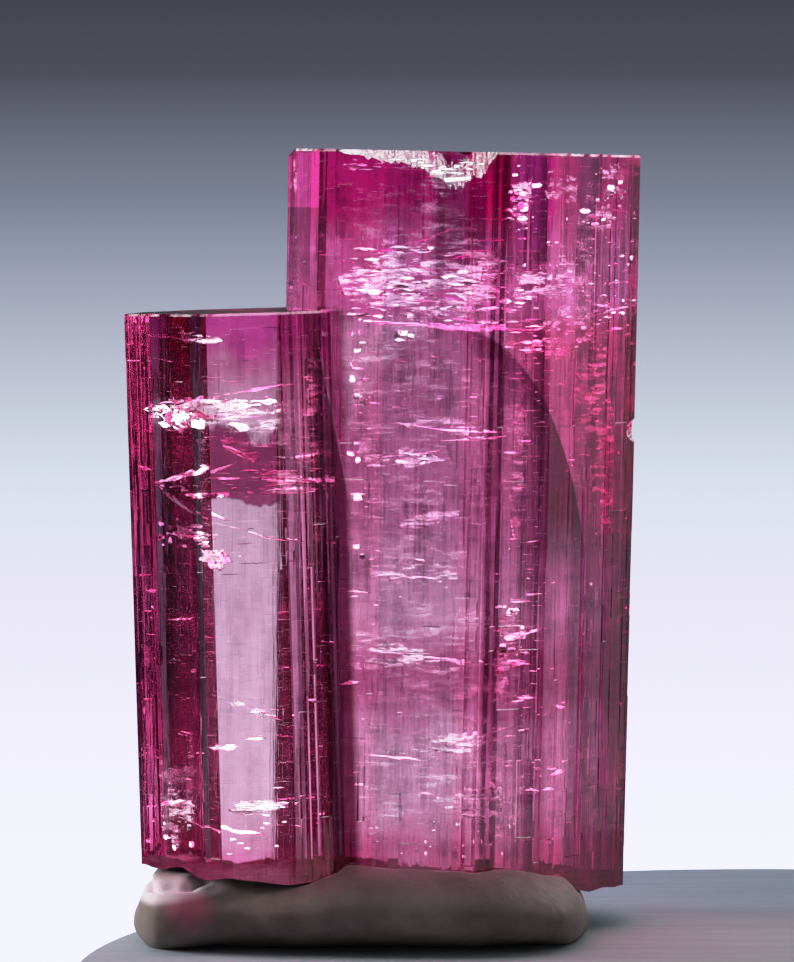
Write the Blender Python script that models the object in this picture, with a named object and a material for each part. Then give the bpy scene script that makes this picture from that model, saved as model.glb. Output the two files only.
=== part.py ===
"""Two pink tourmaline crystals grown side by side, standing in a pressed roll of grey display putty.

Metres, +Z up, the front towards -Y. The origin is on the flat underside of the putty, under the middle
of the pair. The crystals are one solid, because they grew together. The putty is a piece of its own.
"""

import math
import random

import bpy
from mathutils import Matrix, Vector, noise

MM = 0.001

# Heights above the surface that the putty rests on
TALL_TOP = 47.4 * MM
SHORT_TOP = 37.9 * MM
BREAK_LEVEL = 3.6 * MM  # mean level of the broken undersides
BREAK_SLOPE = -0.083  # they rise to the left
PRISM_FOOT = 0.8 * MM  # the prisms start here, below the break, which then trims them

# The two axes spread apart upwards by a little under three degrees
TALL_LEAN = math.radians(1.1)
SHORT_LEAN = math.radians(-1.6)

RIM_DROP = 0.22 * MM  # height of the worn bevel round a flat top
RIM_SHRINK = 0.985
SEAT_GAP = 0.35 * MM  # between the broken undersides and the putty
SOCKET_GROWTH = 0.56 * MM  # between the faces and the putty, more because the faces lean
BREAK_RELIEF = 0.55 * MM
WAVE_LENGTH = 4.8  # mm
HACKLE_LENGTH = 1.6  # mm
HACKLE_SHARE = 0.45
BREAK_SEED = 3.7
BREAK_CELL = 1.1 * MM
BREAK_GRID = (-19.0 * MM, -12.0 * MM, 36, 26)  # low x, low y, cells along X, cells along Y
TABLE_REACH = 40.0 * MM
HELPER_DEPTH = 6.0 * MM  # how far below the surface a cutter reaches

# Unevenness of the flutes
RIDGE_WIDTH_SPREAD = 0.55  # the narrowest flute, next to the widest of 1.55
GROOVE_LEAST = 0.4  # the shallowest groove, as a share of the face's depth
RIDGE_SCUFF = 0.15  # how far a ridge may stand back, as the same share
FLUTE_FADE = 0.45  # how much a flute may fade from ring to ring
RIM_FLUTES = 0.8  # what is left of the flutes at the worn rim

# Outline corners seen from above, anticlockwise, in mm at mid height, each with the number of ridges
# and the ridge depth of the face that runs from it to the next corner.
TALL_FACES = (
    (-6.1, -1.6, 3, 0.10),
    (-4.2, -7.0, 5, 0.08),
    (0.6, -7.7, 4, 0.08),
    (4.3, -7.9, 6, 0.20),
    (7.0, -7.2, 6, 0.24),
    (9.7, -5.6, 12, 0.09),
    (15.2, 2.6, 3, 0.12),
    (14.6, 6.6, 6, 0.16),
    (10.2, 11.3, 5, 0.12),
    (4.4, 11.7, 5, 0.08),
    (-2.8, 11.5, 6, 0.16),
    (-6.3, 5.4, 5, 0.12),
)
SHORT_FACES = (
    (-15.0, -3.4, 7, 0.07),
    (-10.9, -8.5, 3, 0.12),
    (-9.9, -9.2, 4, 0.03),
    (-5.5, -9.3, 6, 0.20),
    (-3.2, -8.3, 4, 0.14),
    (-1.7, -5.6, 5, 0.12),
    (-2.4, 0.4, 4, 0.10),
    (-5.4, 1.7, 5, 0.04),
    (-10.6, 1.6, 5, 0.12),
    (-14.1, -0.6, 3, 0.10),
)

# Levels of the rings, as shares of a crystal's height, and how far the outline stands there
TALL_RINGS = ((0.0, 0.994), (0.16, 0.996), (0.34, 0.998), (0.52, 1.0), (0.70, 1.0), (0.86, 1.002), (1.0, 1.002))
SHORT_RINGS = ((0.0, 1.0), (0.22, 1.0), (0.46, 1.0), (0.64, 1.0), (0.82, 1.002), (1.0, 1.002))

# Chips, as (centre x, y, z) and (half sizes) in mm, measured on the standing crystals
TALL_CHIPS = {
    "rim_chip_long": ((1.4, -8.9, 48.7), (5.0, 3.0, 1.9)),
    "rim_chip_deep": ((4.7, -9.0, 48.6), (2.3, 2.8, 3.1)),
    "corner_chip": ((-6.9, 0.4, 48.1), (1.4, 9.0, 1.2)),
    "right_edge_nick": ((16.4, 1.9, 30.4), (1.2, 1.5, 0.8)),
}
SHORT_CHIPS = {
    "foot_chip": ((-15.6, -6.4, 4.4), (2.0, 3.0, 1.2)),
    "edge_sliver": ((-1.3, -7.6, 38.4), (1.3, 2.0, 11.5)),
}

# The putty: stations along X, as (x, front y, back y, top z) in mm, before the crystals are pressed in
ROLL_STATIONS = (
    (-15.1, -6.0, -2.6, 2.6),
    (-14.2, -8.6, 1.4, 3.9),
    (-10.5, -10.2, 5.4, 4.7),
    (-6.0, -10.9, 8.2, 5.0),
    (-1.5, -11.2, 9.6, 5.8),
    (3.0, -11.2, 9.9, 6.0),
    (7.0, -10.7, 9.4, 5.5),
    (10.2, -9.4, 7.6, 4.7),
    (11.8, -7.6, 4.4, 3.7),
    (12.4, -5.0, -0.6, 2.7),
)
ROLL_BETWEEN = 3  # extra rings between two stations
ROLL_SIDES = 36
ROLL_WAIST = 0.44  # height of the widest line, as a share of the top
ROLL_SQUARE = 0.72  # under 1, the section is fuller than an ellipse
LUMP_SIZE = 6.0 * MM
LUMP_HEIGHT = 0.30 * MM
LUMP_SEED = Vector((4.1, 0.0, 1.3))


def clear_scene():
    for thing in list(bpy.data.objects):
        bpy.data.objects.remove(thing)


def add_object(name, vertices, faces, helper=False):
    mesh = bpy.data.meshes.new(name)
    mesh.from_pydata([tuple(v) for v in vertices], [], faces)
    mesh.validate()
    thing = bpy.data.objects.new(name, mesh)
    bpy.context.scene.collection.objects.link(thing)
    if helper:
        hide_helper(thing)
    return thing


def hide_helper(thing):
    thing.hide_render = True
    thing.display_type = "WIRE"


def finish_material(name, colour, roughness, transmission=0.0, ior=1.5):
    material = bpy.data.materials.new(name)
    material.use_nodes = True
    shader = material.node_tree.nodes["Principled BSDF"]
    shader.inputs["Base Color"].default_value = (*colour, 1.0)
    shader.inputs["Roughness"].default_value = roughness
    shader.inputs["Metallic"].default_value = 0.0
    shader.inputs["Transmission Weight"].default_value = transmission
    shader.inputs["IOR"].default_value = ior
    return material


def face_points(start, end, ridges, depth, rng):
    """Points from start up to but not including end: uneven ridges with grooves of that depth between them.

    Each point comes with how far it may move inwards, and the inward direction.
    """
    along = end - start
    inward = Vector((-along.y, along.x, 0.0)).normalized()
    shares = [RIDGE_WIDTH_SPREAD + rng.random() for _ in range(2 * ridges)]
    total = sum(shares)
    points = [(start, 0.0, inward)]
    walked = 0.0
    for index, share in enumerate(shares[:-1]):
        walked += share
        least, most = (GROOVE_LEAST, 1.0) if index % 2 == 0 else (0.0, RIDGE_SCUFF)
        groove = depth * (least + (most - least) * rng.random())
        points.append((start + along * (walked / total), groove, inward))
    return points


def outline_points(faces, seed):
    rng = random.Random(seed)
    corners = [Vector((x, y, 0.0)) * MM for x, y, _, _ in faces]
    points = []
    for index, (_, _, ridges, depth) in enumerate(faces):
        following = corners[(index + 1) % len(corners)]
        points += face_points(corners[index], following, ridges, depth * MM, rng)
    return points


def outline_centre(points):
    return sum((point for point, _, _ in points), Vector()) / len(points)


def ring_loop(points, centre, spread, rng, groove_share):
    """One closed ring of the outline, whose grooves fade in and out from ring to ring."""
    loop = []
    for point, groove, inward in points:
        fade = groove_share * (1.0 - FLUTE_FADE * rng.random())
        placed = centre + (point - centre) * spread
        loop.append(placed + inward * groove * fade)
    return loop


def prism_mesh(rings):
    """Vertices and faces of a closed prism through rings with equal numbers of points."""
    count = len(rings[0])
    vertices = [v for ring in rings for v in ring]
    faces = []
    for level in range(len(rings) - 1):
        low, high = level * count, (level + 1) * count
        for i in range(count):
            j = (i + 1) % count
            faces.append((low + i, low + j, high + j, high + i))
    faces.append(tuple(reversed(range(count))))
    top = (len(rings) - 1) * count
    faces.append(tuple(range(top, top + count)))
    return vertices, faces


def striated_prism(name, faces, levels, top, lean, seed):
    """A fluted prism with a flat top and a narrow worn rim, leaning about its foot."""
    points = outline_points(faces, seed)
    centre = outline_centre(points)
    rng = random.Random(seed + 1)
    height = top - PRISM_FOOT
    rings = []
    for share, spread in levels:
        drop = RIM_DROP if share == 1.0 else 0.0
        level = Vector((0.0, 0.0, PRISM_FOOT + share * height - drop))
        rings.append([p + level for p in ring_loop(points, centre, spread, rng, 1.0)])
    rim = levels[-1][1] * RIM_SHRINK
    rings.append([p + Vector((0.0, 0.0, top)) for p in ring_loop(points, centre, rim, rng, RIM_FLUTES)])
    crystal = add_object(name, *prism_mesh(rings))
    lean_about_middle(crystal, centre, top, lean)
    return crystal


def lean_about_middle(thing, centre, top, lean):
    """Turns the mesh itself, so that the object keeps no rotation."""
    pivot = Vector((centre.x, centre.y, top / 2))
    turn = Matrix.Translation(pivot) @ Matrix.Rotation(lean, 4, "Y") @ Matrix.Translation(-pivot)
    thing.data.transform(turn)


def socket_prism(name, faces, top, lean):
    """The plain outline, grown: the room that a crystal takes in the putty."""
    corners = [Vector((x, y, 0.0)) * MM for x, y, _, _ in faces]
    centre = outline_centre(outline_points(faces, 0))
    grown = []
    for index, corner in enumerate(corners):
        before = (corner - corners[index - 1]).normalized()
        after = (corners[(index + 1) % len(corners)] - corner).normalized()
        outward = Vector((before.y + after.y, -before.x - after.x, 0.0)).normalized()
        bend = outward.dot(Vector((before.y, -before.x, 0.0)))
        grown.append(corner + outward * (SOCKET_GROWTH / bend))
    rings = [[p + Vector((0.0, 0.0, z)) for p in grown] for z in (-HELPER_DEPTH, top)]
    socket = add_object(name, *prism_mesh(rings), helper=True)
    lean_about_middle(socket, centre, top, lean)
    return socket


def break_height(x, y):
    """The rough broken underside: low waves with a finer hackle."""
    spot = Vector((x / MM, y / MM, BREAK_SEED))
    waves = noise.noise(spot / WAVE_LENGTH) + HACKLE_SHARE * noise.noise(spot / HACKLE_LENGTH)
    return BREAK_LEVEL + BREAK_SLOPE * x + BREAK_RELIEF * waves


def broken_block(name, lowered):
    """A block up to the broken level, less lowered, to trim the crystals and the socket with."""
    low_x, low_y, columns, rows = BREAK_GRID
    vertices = []
    for row in range(rows + 1):
        for column in range(columns + 1):
            x, y = low_x + column * BREAK_CELL, low_y + row * BREAK_CELL
            vertices.append((x, y, break_height(x, y) - lowered))
    across = columns + 1
    faces = []
    for row in range(rows):
        for column in range(columns):
            a = row * across + column
            faces.append((a, a + 1, a + across + 1, a + across))
    rim = list(range(across))
    rim += [r * across + columns for r in range(1, rows + 1)]
    rim += [rows * across + c for c in range(columns - 1, -1, -1)]
    rim += [r * across for r in range(rows - 1, 0, -1)]
    below = len(vertices)
    vertices += [(vertices[i][0], vertices[i][1], -2 * HELPER_DEPTH) for i in rim]
    for i in range(len(rim)):
        j = (i + 1) % len(rim)
        faces.append((rim[i], below + i, below + j, rim[j]))
    faces.append(tuple(below + i for i in reversed(range(len(rim)))))
    return add_object(name, vertices, faces, helper=True)


def ball(name, centre, half, columns=16, rows=10):
    """A squashed ball in mm, to chip the crystals with."""
    vertices = [Vector((-1.0, 0.0, 0.0))]
    for row in range(1, rows):
        angle = math.pi * row / rows
        radius = math.sin(angle)
        for column in range(columns):
            turn = 2 * math.pi * column / columns
            vertices.append(Vector((-math.cos(angle), radius * math.cos(turn), radius * math.sin(turn))))
    vertices.append(Vector((1.0, 0.0, 0.0)))
    last = len(vertices) - 1
    faces = []
    for i in range(columns):
        j = (i + 1) % columns
        faces.append((0, 1 + j, 1 + i))
        for row in range(rows - 2):
            low, high = 1 + row * columns, 1 + (row + 1) * columns
            faces.append((low + i, low + j, high + j, high + i))
        low = 1 + (rows - 2) * columns
        faces.append((low + i, low + j, last))
    placed = [Vector((c + v[k] * h) * MM for k, (c, h) in enumerate(zip(centre, half))) for v in vertices]
    return add_object(name, placed, faces, helper=True)


def lumpy(thing, height):
    """Pushes each vertex along its normal by smooth noise."""
    moves = []
    for vertex in thing.data.vertices:
        lift = noise.noise(vertex.co / LUMP_SIZE + LUMP_SEED)
        moves.append(vertex.normal * height * lift)
    for vertex, move in zip(thing.data.vertices, moves):
        vertex.co += move


def boolean(thing, operation, cutter):
    modifier = thing.modifiers.new(f"{operation.lower()} {cutter.name}", "BOOLEAN")
    modifier.operation = operation
    modifier.object = cutter


def chip(crystal, chips):
    for name, (centre, half) in chips.items():
        boolean(crystal, "DIFFERENCE", ball(name, centre, half))


def make_crystals():
    """Both prisms, chipped along the rims, joined and broken off below."""
    crystals = striated_prism("tourmaline_crystals", TALL_FACES, TALL_RINGS, TALL_TOP, TALL_LEAN, 7)
    chip(crystals, TALL_CHIPS)
    short = striated_prism("short_crystal_guide", SHORT_FACES, SHORT_RINGS, SHORT_TOP, SHORT_LEAN, 23)
    hide_helper(short)
    chip(short, SHORT_CHIPS)
    boolean(crystals, "UNION", short)
    boolean(crystals, "DIFFERENCE", broken_block("break_guide", 0.0))
    crystals.data.materials.append(
        finish_material("pink_tourmaline", (0.80, 0.16, 0.42), 0.03, transmission=1.0, ior=1.63)
    )
    return crystals


def station_between(index, share):
    """A smooth station between two neighbours, by a Catmull-Rom curve through the list."""
    last = len(ROLL_STATIONS) - 1
    p0, p1, p2, p3 = (ROLL_STATIONS[min(max(index + k, 0), last)] for k in (-1, 0, 1, 2))
    return [
        b + 0.5 * share * (c - a + share * (2 * a - 5 * b + 4 * c - d + share * (3 * (b - c) + d - a)))
        for a, b, c, d in zip(p0, p1, p2, p3)
    ]


def roll_ring(station):
    x, front, back, top = (value * MM for value in station)
    middle_y, half_y = (front + back) / 2, (back - front) / 2
    middle_z, half_z = top * ROLL_WAIST, top * (1 - ROLL_WAIST)
    ring = []
    for side in range(ROLL_SIDES):
        turn = 2 * math.pi * side / ROLL_SIDES
        across, up = math.cos(turn), math.sin(turn)
        y = middle_y + half_y * math.copysign(abs(across) ** ROLL_SQUARE, across)
        z = middle_z + half_z * math.copysign(abs(up) ** ROLL_SQUARE, up)
        ring.append(Vector((x, y, z)))
    return ring


def putty_roll(name):
    """The roll as a loft along X, closed by its two end rings, and slightly lumpy."""
    steps = ROLL_BETWEEN + 1
    rings = []
    for index in range(len(ROLL_STATIONS) - 1):
        rings += [roll_ring(station_between(index, step / steps)) for step in range(steps)]
    rings.append(roll_ring(ROLL_STATIONS[-1]))
    roll = add_object(name, *prism_mesh(rings))
    lumpy(roll, LUMP_HEIGHT)
    return roll


def make_putty():
    """The pressed roll, less the room of the crystals and what would lie below its resting surface."""
    putty = putty_roll("putty_pad")
    socket = socket_prism("tall_socket_guide", TALL_FACES, TALL_TOP, TALL_LEAN)
    short_socket = socket_prism("short_socket_guide", SHORT_FACES, SHORT_TOP, SHORT_LEAN)
    boolean(socket, "UNION", short_socket)
    boolean(socket, "DIFFERENCE", broken_block("socket_floor_guide", SEAT_GAP))
    boolean(putty, "DIFFERENCE", socket)
    boolean(putty, "DIFFERENCE", table_block())
    putty.data.materials.append(finish_material("grey_putty", (0.42, 0.41, 0.42), 0.55))
    for polygon in putty.data.polygons:
        polygon.use_smooth = True
    return putty


def table_block():
    """Everything below the surface that the putty is pressed on."""
    turns = ((-1, -1), (1, -1), (1, 1), (-1, 1))
    corners = [Vector((x, y, 0.0)) * TABLE_REACH for x, y in turns]
    rings = [[p + Vector((0.0, 0.0, z)) for p in corners] for z in (-HELPER_DEPTH, 0.0)]
    return add_object("table_guide", *prism_mesh(rings), helper=True)


clear_scene()
make_crystals()
make_putty()
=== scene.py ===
"""Looks of the pink tourmaline pair: fluted clear crystals with fractures inside, in a roll of putty.

Metres, +Z up, the front towards -Y. The crystals' corners, leans and levels are the part's own.
"""

import math
import random

import bpy
import numpy as np
from mathutils import Matrix, Vector, noise


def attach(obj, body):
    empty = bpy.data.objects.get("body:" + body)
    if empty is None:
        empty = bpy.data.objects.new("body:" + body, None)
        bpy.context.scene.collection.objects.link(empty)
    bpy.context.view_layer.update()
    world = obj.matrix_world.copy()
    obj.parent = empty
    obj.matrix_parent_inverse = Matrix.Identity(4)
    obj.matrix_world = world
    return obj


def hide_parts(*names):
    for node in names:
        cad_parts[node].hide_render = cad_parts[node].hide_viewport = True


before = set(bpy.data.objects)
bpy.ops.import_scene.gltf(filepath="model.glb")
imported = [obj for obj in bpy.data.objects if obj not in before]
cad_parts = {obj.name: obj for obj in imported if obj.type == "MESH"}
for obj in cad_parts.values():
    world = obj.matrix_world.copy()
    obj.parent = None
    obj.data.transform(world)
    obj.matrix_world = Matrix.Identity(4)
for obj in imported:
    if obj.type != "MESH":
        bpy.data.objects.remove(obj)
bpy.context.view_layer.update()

MM = 0.001

# ---------------------------------------------------------------- crystals, as the part has them
PRISM_FOOT = 0.8 * MM
RIM_DROP = 0.14 * MM
RIM_SHRINK = 0.990
RIM_RATE = 1.3  # how quickly the worn rim changes along itself
RIM_WEAR = 1.6
RIM_RELIEF = 0.8  # what the rim keeps of the flutes

BREAK_LEVEL = 3.6 * MM
BREAK_SLOPE = -0.083
BREAK_RELIEF = 0.55 * MM
WAVE_LENGTH = 4.8  # mm
HACKLE_LENGTH = 1.6  # mm
HACKLE_SHARE = 0.45
SPLINTER_LENGTH = 0.55  # mm
SPLINTER_SHARE = 0.10
BREAK_SEED = 3.7
BREAK_CELL = 0.42 * MM
BREAK_GRID = (-19.0 * MM, -12.0 * MM, 94, 68)  # low x, low y, cells along X, cells along Y
CUTTER_FLOOR = -12.0 * MM

# Faces from above, anticlockwise: corner x and y in mm, then what covers the face that runs to the next
# corner: flutes and their depth in mm, fine lines, depth of the growth blocks in mm.
TALL_FACES = (
    (-6.1, -1.6, 2, 0.02, 4, 0.01),
    (-4.2, -7.0, 5, 0.03, 9, 0.012),
    (0.6, -7.7, 5, 0.03, 12, 0.012),
    (4.3, -7.9, 3, 0.06, 5, 0.03),
    (5.8, -7.9, 2, 0.05, 3, 0.04),
    (7.0, -6.9, 3, 0.04, 5, 0.045),
    (9.7, -5.6, 9, 0.018, 16, 0.008),
    (15.2, 2.6, 3, 0.10, 10, 0.04),
    (14.6, 6.6, 5, 0.10, 8, 0.04),
    (10.2, 11.3, 4, 0.03, 5, 0.02),
    (4.4, 11.7, 4, 0.03, 5, 0.02),
    (-2.8, 11.5, 6, 0.12, 10, 0.03),
    (-6.3, 5.4, 6, 0.08, 12, 0.03),
)
SHORT_FACES = (
    (-15.0, -3.4, 2, 0.02, 4, 0.012),
    (-10.9, -8.5, 1, 0.07, 2, 0.015),
    (-9.9, -9.2, 2, 0.010, 5, 0.006),
    (-5.5, -9.3, 6, 0.09, 6, 0.02),
    (-3.2, -8.3, 4, 0.06, 8, 0.02),
    (-1.7, -5.6, 5, 0.10, 12, 0.03),
    (-2.4, 0.4, 4, 0.08, 8, 0.03),
    (-5.4, 1.7, 3, 0.02, 5, 0.012),
    (-10.6, 1.6, 4, 0.05, 8, 0.02),
    (-14.1, -0.6, 3, 0.08, 8, 0.03),
)
# Widths at shares of the height
TALL_SPREAD = ((0.0, 0.16, 0.34, 0.52, 0.86, 1.0), (0.994, 0.996, 0.998, 1.0, 1.002, 1.002))
SHORT_SPREAD = ((0.0, 0.64, 0.82, 1.0), (1.0, 1.0, 1.0015, 1.0015))
FRONT_PITCH = 0.12 * MM  # columns on the faces that the front shows
BACK_PITCH = 0.17 * MM
ROW_PITCH = 1.15 * MM
STEP_HEIGHT = 0.06 * MM  # how quickly a growth block gives way to the next above it


class Prism:
    """One crystal of the pair: its faces, widths, top, lean to the right and random seed."""

    def __init__(self, faces, spread, top, lean, seed):
        self.faces, self.spread, self.top, self.seed = faces, spread, top, seed
        self.lean = math.radians(lean)
        self.corners = [Vector((x, y, 0)) * MM for x, y, *_ in faces]
        self.centre = sum(self.corners, Vector()) / len(self.corners)

    def sides(self):
        """Each face's two corners with its numbers."""
        return zip(self.corners, self.corners[1:] + self.corners[:1], self.faces)


TALL = Prism(TALL_FACES, TALL_SPREAD, 47.4 * MM, 1.1, 7)
SHORT = Prism(SHORT_FACES, SHORT_SPREAD, 37.9 * MM, -1.6, 23)


# ---------------------------------------------------------------- meshes
def add_mesh(name, vertices, faces, hidden=False):
    mesh = bpy.data.meshes.new(name)
    mesh.from_pydata([tuple(v) for v in vertices], [], faces)
    thing = bpy.data.objects.new(name, mesh)
    bpy.context.scene.collection.objects.link(thing)
    thing.hide_render = hidden
    return thing


def dress(thing, *materials, smooth=False):
    thing.data.materials.clear()
    for material in materials:
        thing.data.materials.append(material)
    if smooth:
        for polygon in thing.data.polygons:
            polygon.use_smooth = True


def loft(rings):
    """Vertices and faces of a closed body through rings with equal numbers of points."""
    count = len(rings[0])
    vertices = [v for ring in rings for v in ring]
    faces = []
    for level in range(len(rings) - 1):
        low, high = level * count, (level + 1) * count
        faces += [(low + i, low + (i + 1) % count, high + (i + 1) % count, high + i) for i in range(count)]
    top = (len(rings) - 1) * count
    return vertices, faces + [tuple(reversed(range(count))), tuple(range(top, top + count))]


def sheet_faces(across, along, first_new):
    """Faces between a grid of points and a flat end that follows the grid's rim, and that rim."""
    cells = [row * across + column for row in range(along - 1) for column in range(across - 1)]
    faces = [(a, a + 1, a + across + 1, a + across) for a in cells]
    rim = list(range(across))
    rim += [row * across + across - 1 for row in range(1, along)]
    rim += [(along - 1) * across + column for column in range(across - 2, -1, -1)]
    rim += [row * across for row in range(along - 2, 0, -1)]
    count = len(rim)
    after = [(i, (i + 1) % count) for i in range(count)]
    faces += [(rim[i], first_new + i, first_new + j, rim[j]) for i, j in after]
    faces.append(tuple(first_new + i for i in reversed(range(count))))
    return faces, rim


def cut(thing, operation, tool):
    """Applies one exact Boolean at once and removes the tool."""
    modifier = thing.modifiers.new(operation, "BOOLEAN")
    modifier.operation = operation
    modifier.object = tool
    graph = bpy.context.evaluated_depsgraph_get()
    mesh = bpy.data.meshes.new_from_object(thing.evaluated_get(graph))
    thing.modifiers.clear()
    thing.data = mesh
    bpy.data.objects.remove(tool)


def layers(place, *parts):
    """Noise in layers, each with its rate and its share."""
    return sum(share * noise.noise(place * rate) for rate, share in parts)


# ---------------------------------------------------------------- fluted faces
FLUTE_GAP = 0.4  # least room between two edges of the flutes, as a share of the rest
FLUTE_LEAST = 0.35  # of the full depth
RIDGE_LEVEL = 0.1  # how low a ridge can lie, as a share of the depth
FLUTE_FADE = (0.75, 0.5, 90)  # mean strength, its change and how quickly it changes with height
FADE_SEEDS = 20
BREAK_COUNT = 30
BREAK_SHARE = 0.24  # of the breaks end one block
BLOCK_WIDTH = (0.25, 1.3, 1.6)  # mm: least, more and its power
BLOCK_TURN = 0.035
BLOCK_TILT = 0.02
BLOCK_LEVEL_POWER = 1.5
BLOCK_FULL_TILT = 4 * MM  # a block less tall than this tilts less
LINE_HALF = (0.08, 0.16, 2)  # mm: least, more and its power
LINE_DEPTH = (0.005, 0.026, 2)
LINE_REACH = (0.08, 0.9, 1.5)  # as shares of the height
LINE_FADE = 0.4 * MM


def smooth_steps(values, low, high):
    share = np.clip((values - low) / (high - low), 0.0, 1.0)
    return share * share * (3 - 2 * share)


def drawn(least, more, power, rng):
    """A random number, more seldom a large one as the power rises."""
    return least + more * rng.random() ** power


def flutes(along, heights, length, count, depth, rng):
    """Uneven ridges from foot to top, as depths below the flat face for each height and place."""
    knots = np.cumsum([FLUTE_GAP + rng.random() for _ in range(2 * count + 1)])
    knots = (knots - knots[0]) / (knots[-1] - knots[0]) * length
    lows = []
    for k in range(len(knots)):
        if k % 2:
            lows.append(depth * (FLUTE_LEAST + (1 - FLUTE_LEAST) * rng.random()))
        else:
            lows.append(RIDGE_LEVEL * depth * rng.random())
    lows[0] = lows[-1] = 0.0
    profile = np.interp(along, knots, lows)
    phase = rng.random() * FADE_SEEDS
    mean, change, rate = FLUTE_FADE
    strength = np.array([mean + change * noise.noise(Vector((phase, z * rate, 0))) for z in heights])
    return profile[None, :] * strength[:, None]


def fine_lines(along, heights, length, count, rng):
    """Narrow grooves that start and stop."""
    low, high = heights[0], heights[-1]
    sunk = np.zeros((len(heights), len(along)))
    for _ in range(count):
        place = length * rng.random()
        half = drawn(*LINE_HALF, rng) * MM
        depth = drawn(*LINE_DEPTH, rng) * MM
        reach = (high - low) * drawn(*LINE_REACH, rng)
        start = low + (high - low + reach) * rng.random() - reach
        end = start + reach
        groove = depth * np.clip(1 - np.abs(along - place) / half, 0, None)
        shown = smooth_steps(heights, start, start + LINE_FADE)
        shown *= 1 - smooth_steps(heights, end, end + LINE_FADE)
        sunk = np.maximum(sunk, groove[None, :] * shown[:, None])
    return sunk


def growth_blocks(along, heights, length, depth, breaks, rng):
    """Flat blocks, each sunk and turned a little differently, that end at some of the break heights."""
    sunk = np.zeros((len(heights), len(along)))
    place = 0.0
    while place < length:
        width = drawn(*BLOCK_WIDTH, rng) * MM
        columns = (along >= place) & (along < place + width)
        ends = [b for b in breaks if rng.random() < BREAK_SHARE]
        ends = [heights[0] - 1] + ends + [heights[-1] + 1]
        for low, high in zip(ends, ends[1:]):
            rows = (heights >= low) & (heights < high)
            level = depth * rng.random() ** BLOCK_LEVEL_POWER
            turn = BLOCK_TURN * (rng.random() - 0.5)
            tilt = BLOCK_TILT * (rng.random() - 0.5) * min(1.0, BLOCK_FULL_TILT / max(high - low, MM))
            middle = (max(low, heights[0]) + min(high, heights[-1])) / 2
            block = level + turn * (along - place - width / 2)[None, :] + tilt * (heights - middle)[:, None]
            sunk = np.where(rows[:, None] & columns[None, :], np.clip(block, 0, None), sunk)
        place += width
    return sunk


def row_heights(top, breaks):
    """Heights of the rows: even ones, and a close pair at each break."""
    rim = top - RIM_DROP
    even = list(np.linspace(PRISM_FOOT, rim, int((rim - PRISM_FOOT) / ROW_PITCH)))
    rows = sorted(even + [b - STEP_HEIGHT / 2 for b in breaks] + [b + STEP_HEIGHT / 2 for b in breaks])
    return np.array([z for z in rows if PRISM_FOOT <= z <= rim])


def fluted_prism(name, prism):
    """A prism with flutes, fine lines and growth blocks on each face, a flat top and a narrow worn rim."""
    rng = random.Random(prism.seed)
    tall = prism.top - PRISM_FOOT
    breaks = sorted(PRISM_FOOT + tall * rng.random() for _ in range(BREAK_COUNT))
    heights = row_heights(prism.top, breaks)
    places, inward, sunk = [], [], []
    for start, end, (_, _, count, depth, lines, block) in prism.sides():
        side = (end - start).normalized()
        normal = Vector((-side.y, side.x, 0))
        length = (end - start).length
        pitch = FRONT_PITCH if normal.y > -0.25 else BACK_PITCH
        steps = max(3, round(length / pitch))
        along = np.linspace(0, length, steps + 1)[:-1]
        relief = flutes(along, heights, length, count, depth * MM, rng)
        relief += fine_lines(along, heights, length, lines, rng)
        relief += growth_blocks(along, heights, length, block * MM, breaks, rng)
        places += [start + side * u for u in along]
        inward += [normal] * steps
        sunk.append(relief)
    sunk = np.concatenate(sunk, axis=1)
    places, inward = np.array(places), np.array(inward)
    widths = np.interp((heights - PRISM_FOOT) / tall, *prism.spread)
    middle = np.array(prism.centre)
    rings = []
    for row, height in enumerate(heights):
        flat = middle + (places - middle) * widths[row] + inward * sunk[row][:, None]
        rings.append([(x, y, height) for x, y, _ in flat])
    worn = [1 - (1 - RIM_SHRINK) * (1 + RIM_WEAR * noise.noise(Vector(p) / MM * RIM_RATE)) for p in places]
    shares = np.array([max(0.0, share) for share in worn])
    drawn_in = (places - middle) * (widths[-1] * shares)[:, None]
    flat = middle + drawn_in + inward * (RIM_RELIEF * sunk[-1])[:, None]
    rings.append([(x, y, prism.top) for x, y, _ in flat])
    crystal = add_mesh(name, *loft(rings))
    pivot = Vector((prism.centre.x, prism.centre.y, prism.top / 2))
    lean = Matrix.Rotation(prism.lean, 4, "Y")
    crystal.data.transform(Matrix.Translation(pivot) @ lean @ Matrix.Translation(-pivot))
    return crystal


# ---------------------------------------------------------------- chips and the broken foot
def break_height(x, y):
    spot = Vector((x / MM, y / MM, BREAK_SEED))
    waves = noise.noise(spot / WAVE_LENGTH) + HACKLE_SHARE * noise.noise(spot / HACKLE_LENGTH)
    splinters = SPLINTER_SHARE * noise.noise(spot / SPLINTER_LENGTH)
    return BREAK_LEVEL + BREAK_SLOPE * x + BREAK_RELIEF * (waves + splinters)


def broken_block():
    """Everything below the rough break, to take off the prisms."""
    low_x, low_y, columns, rows = BREAK_GRID
    cells = [(i, j) for j in range(rows + 1) for i in range(columns + 1)]
    places = [(low_x + i * BREAK_CELL, low_y + j * BREAK_CELL) for i, j in cells]
    vertices = [(x, y, break_height(x, y)) for x, y in places]
    faces, rim = sheet_faces(columns + 1, rows + 1, len(vertices))
    vertices += [(vertices[i][0], vertices[i][1], CUTTER_FLOOR) for i in rim]
    return add_mesh("break_tool", vertices, faces, hidden=True)


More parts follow.
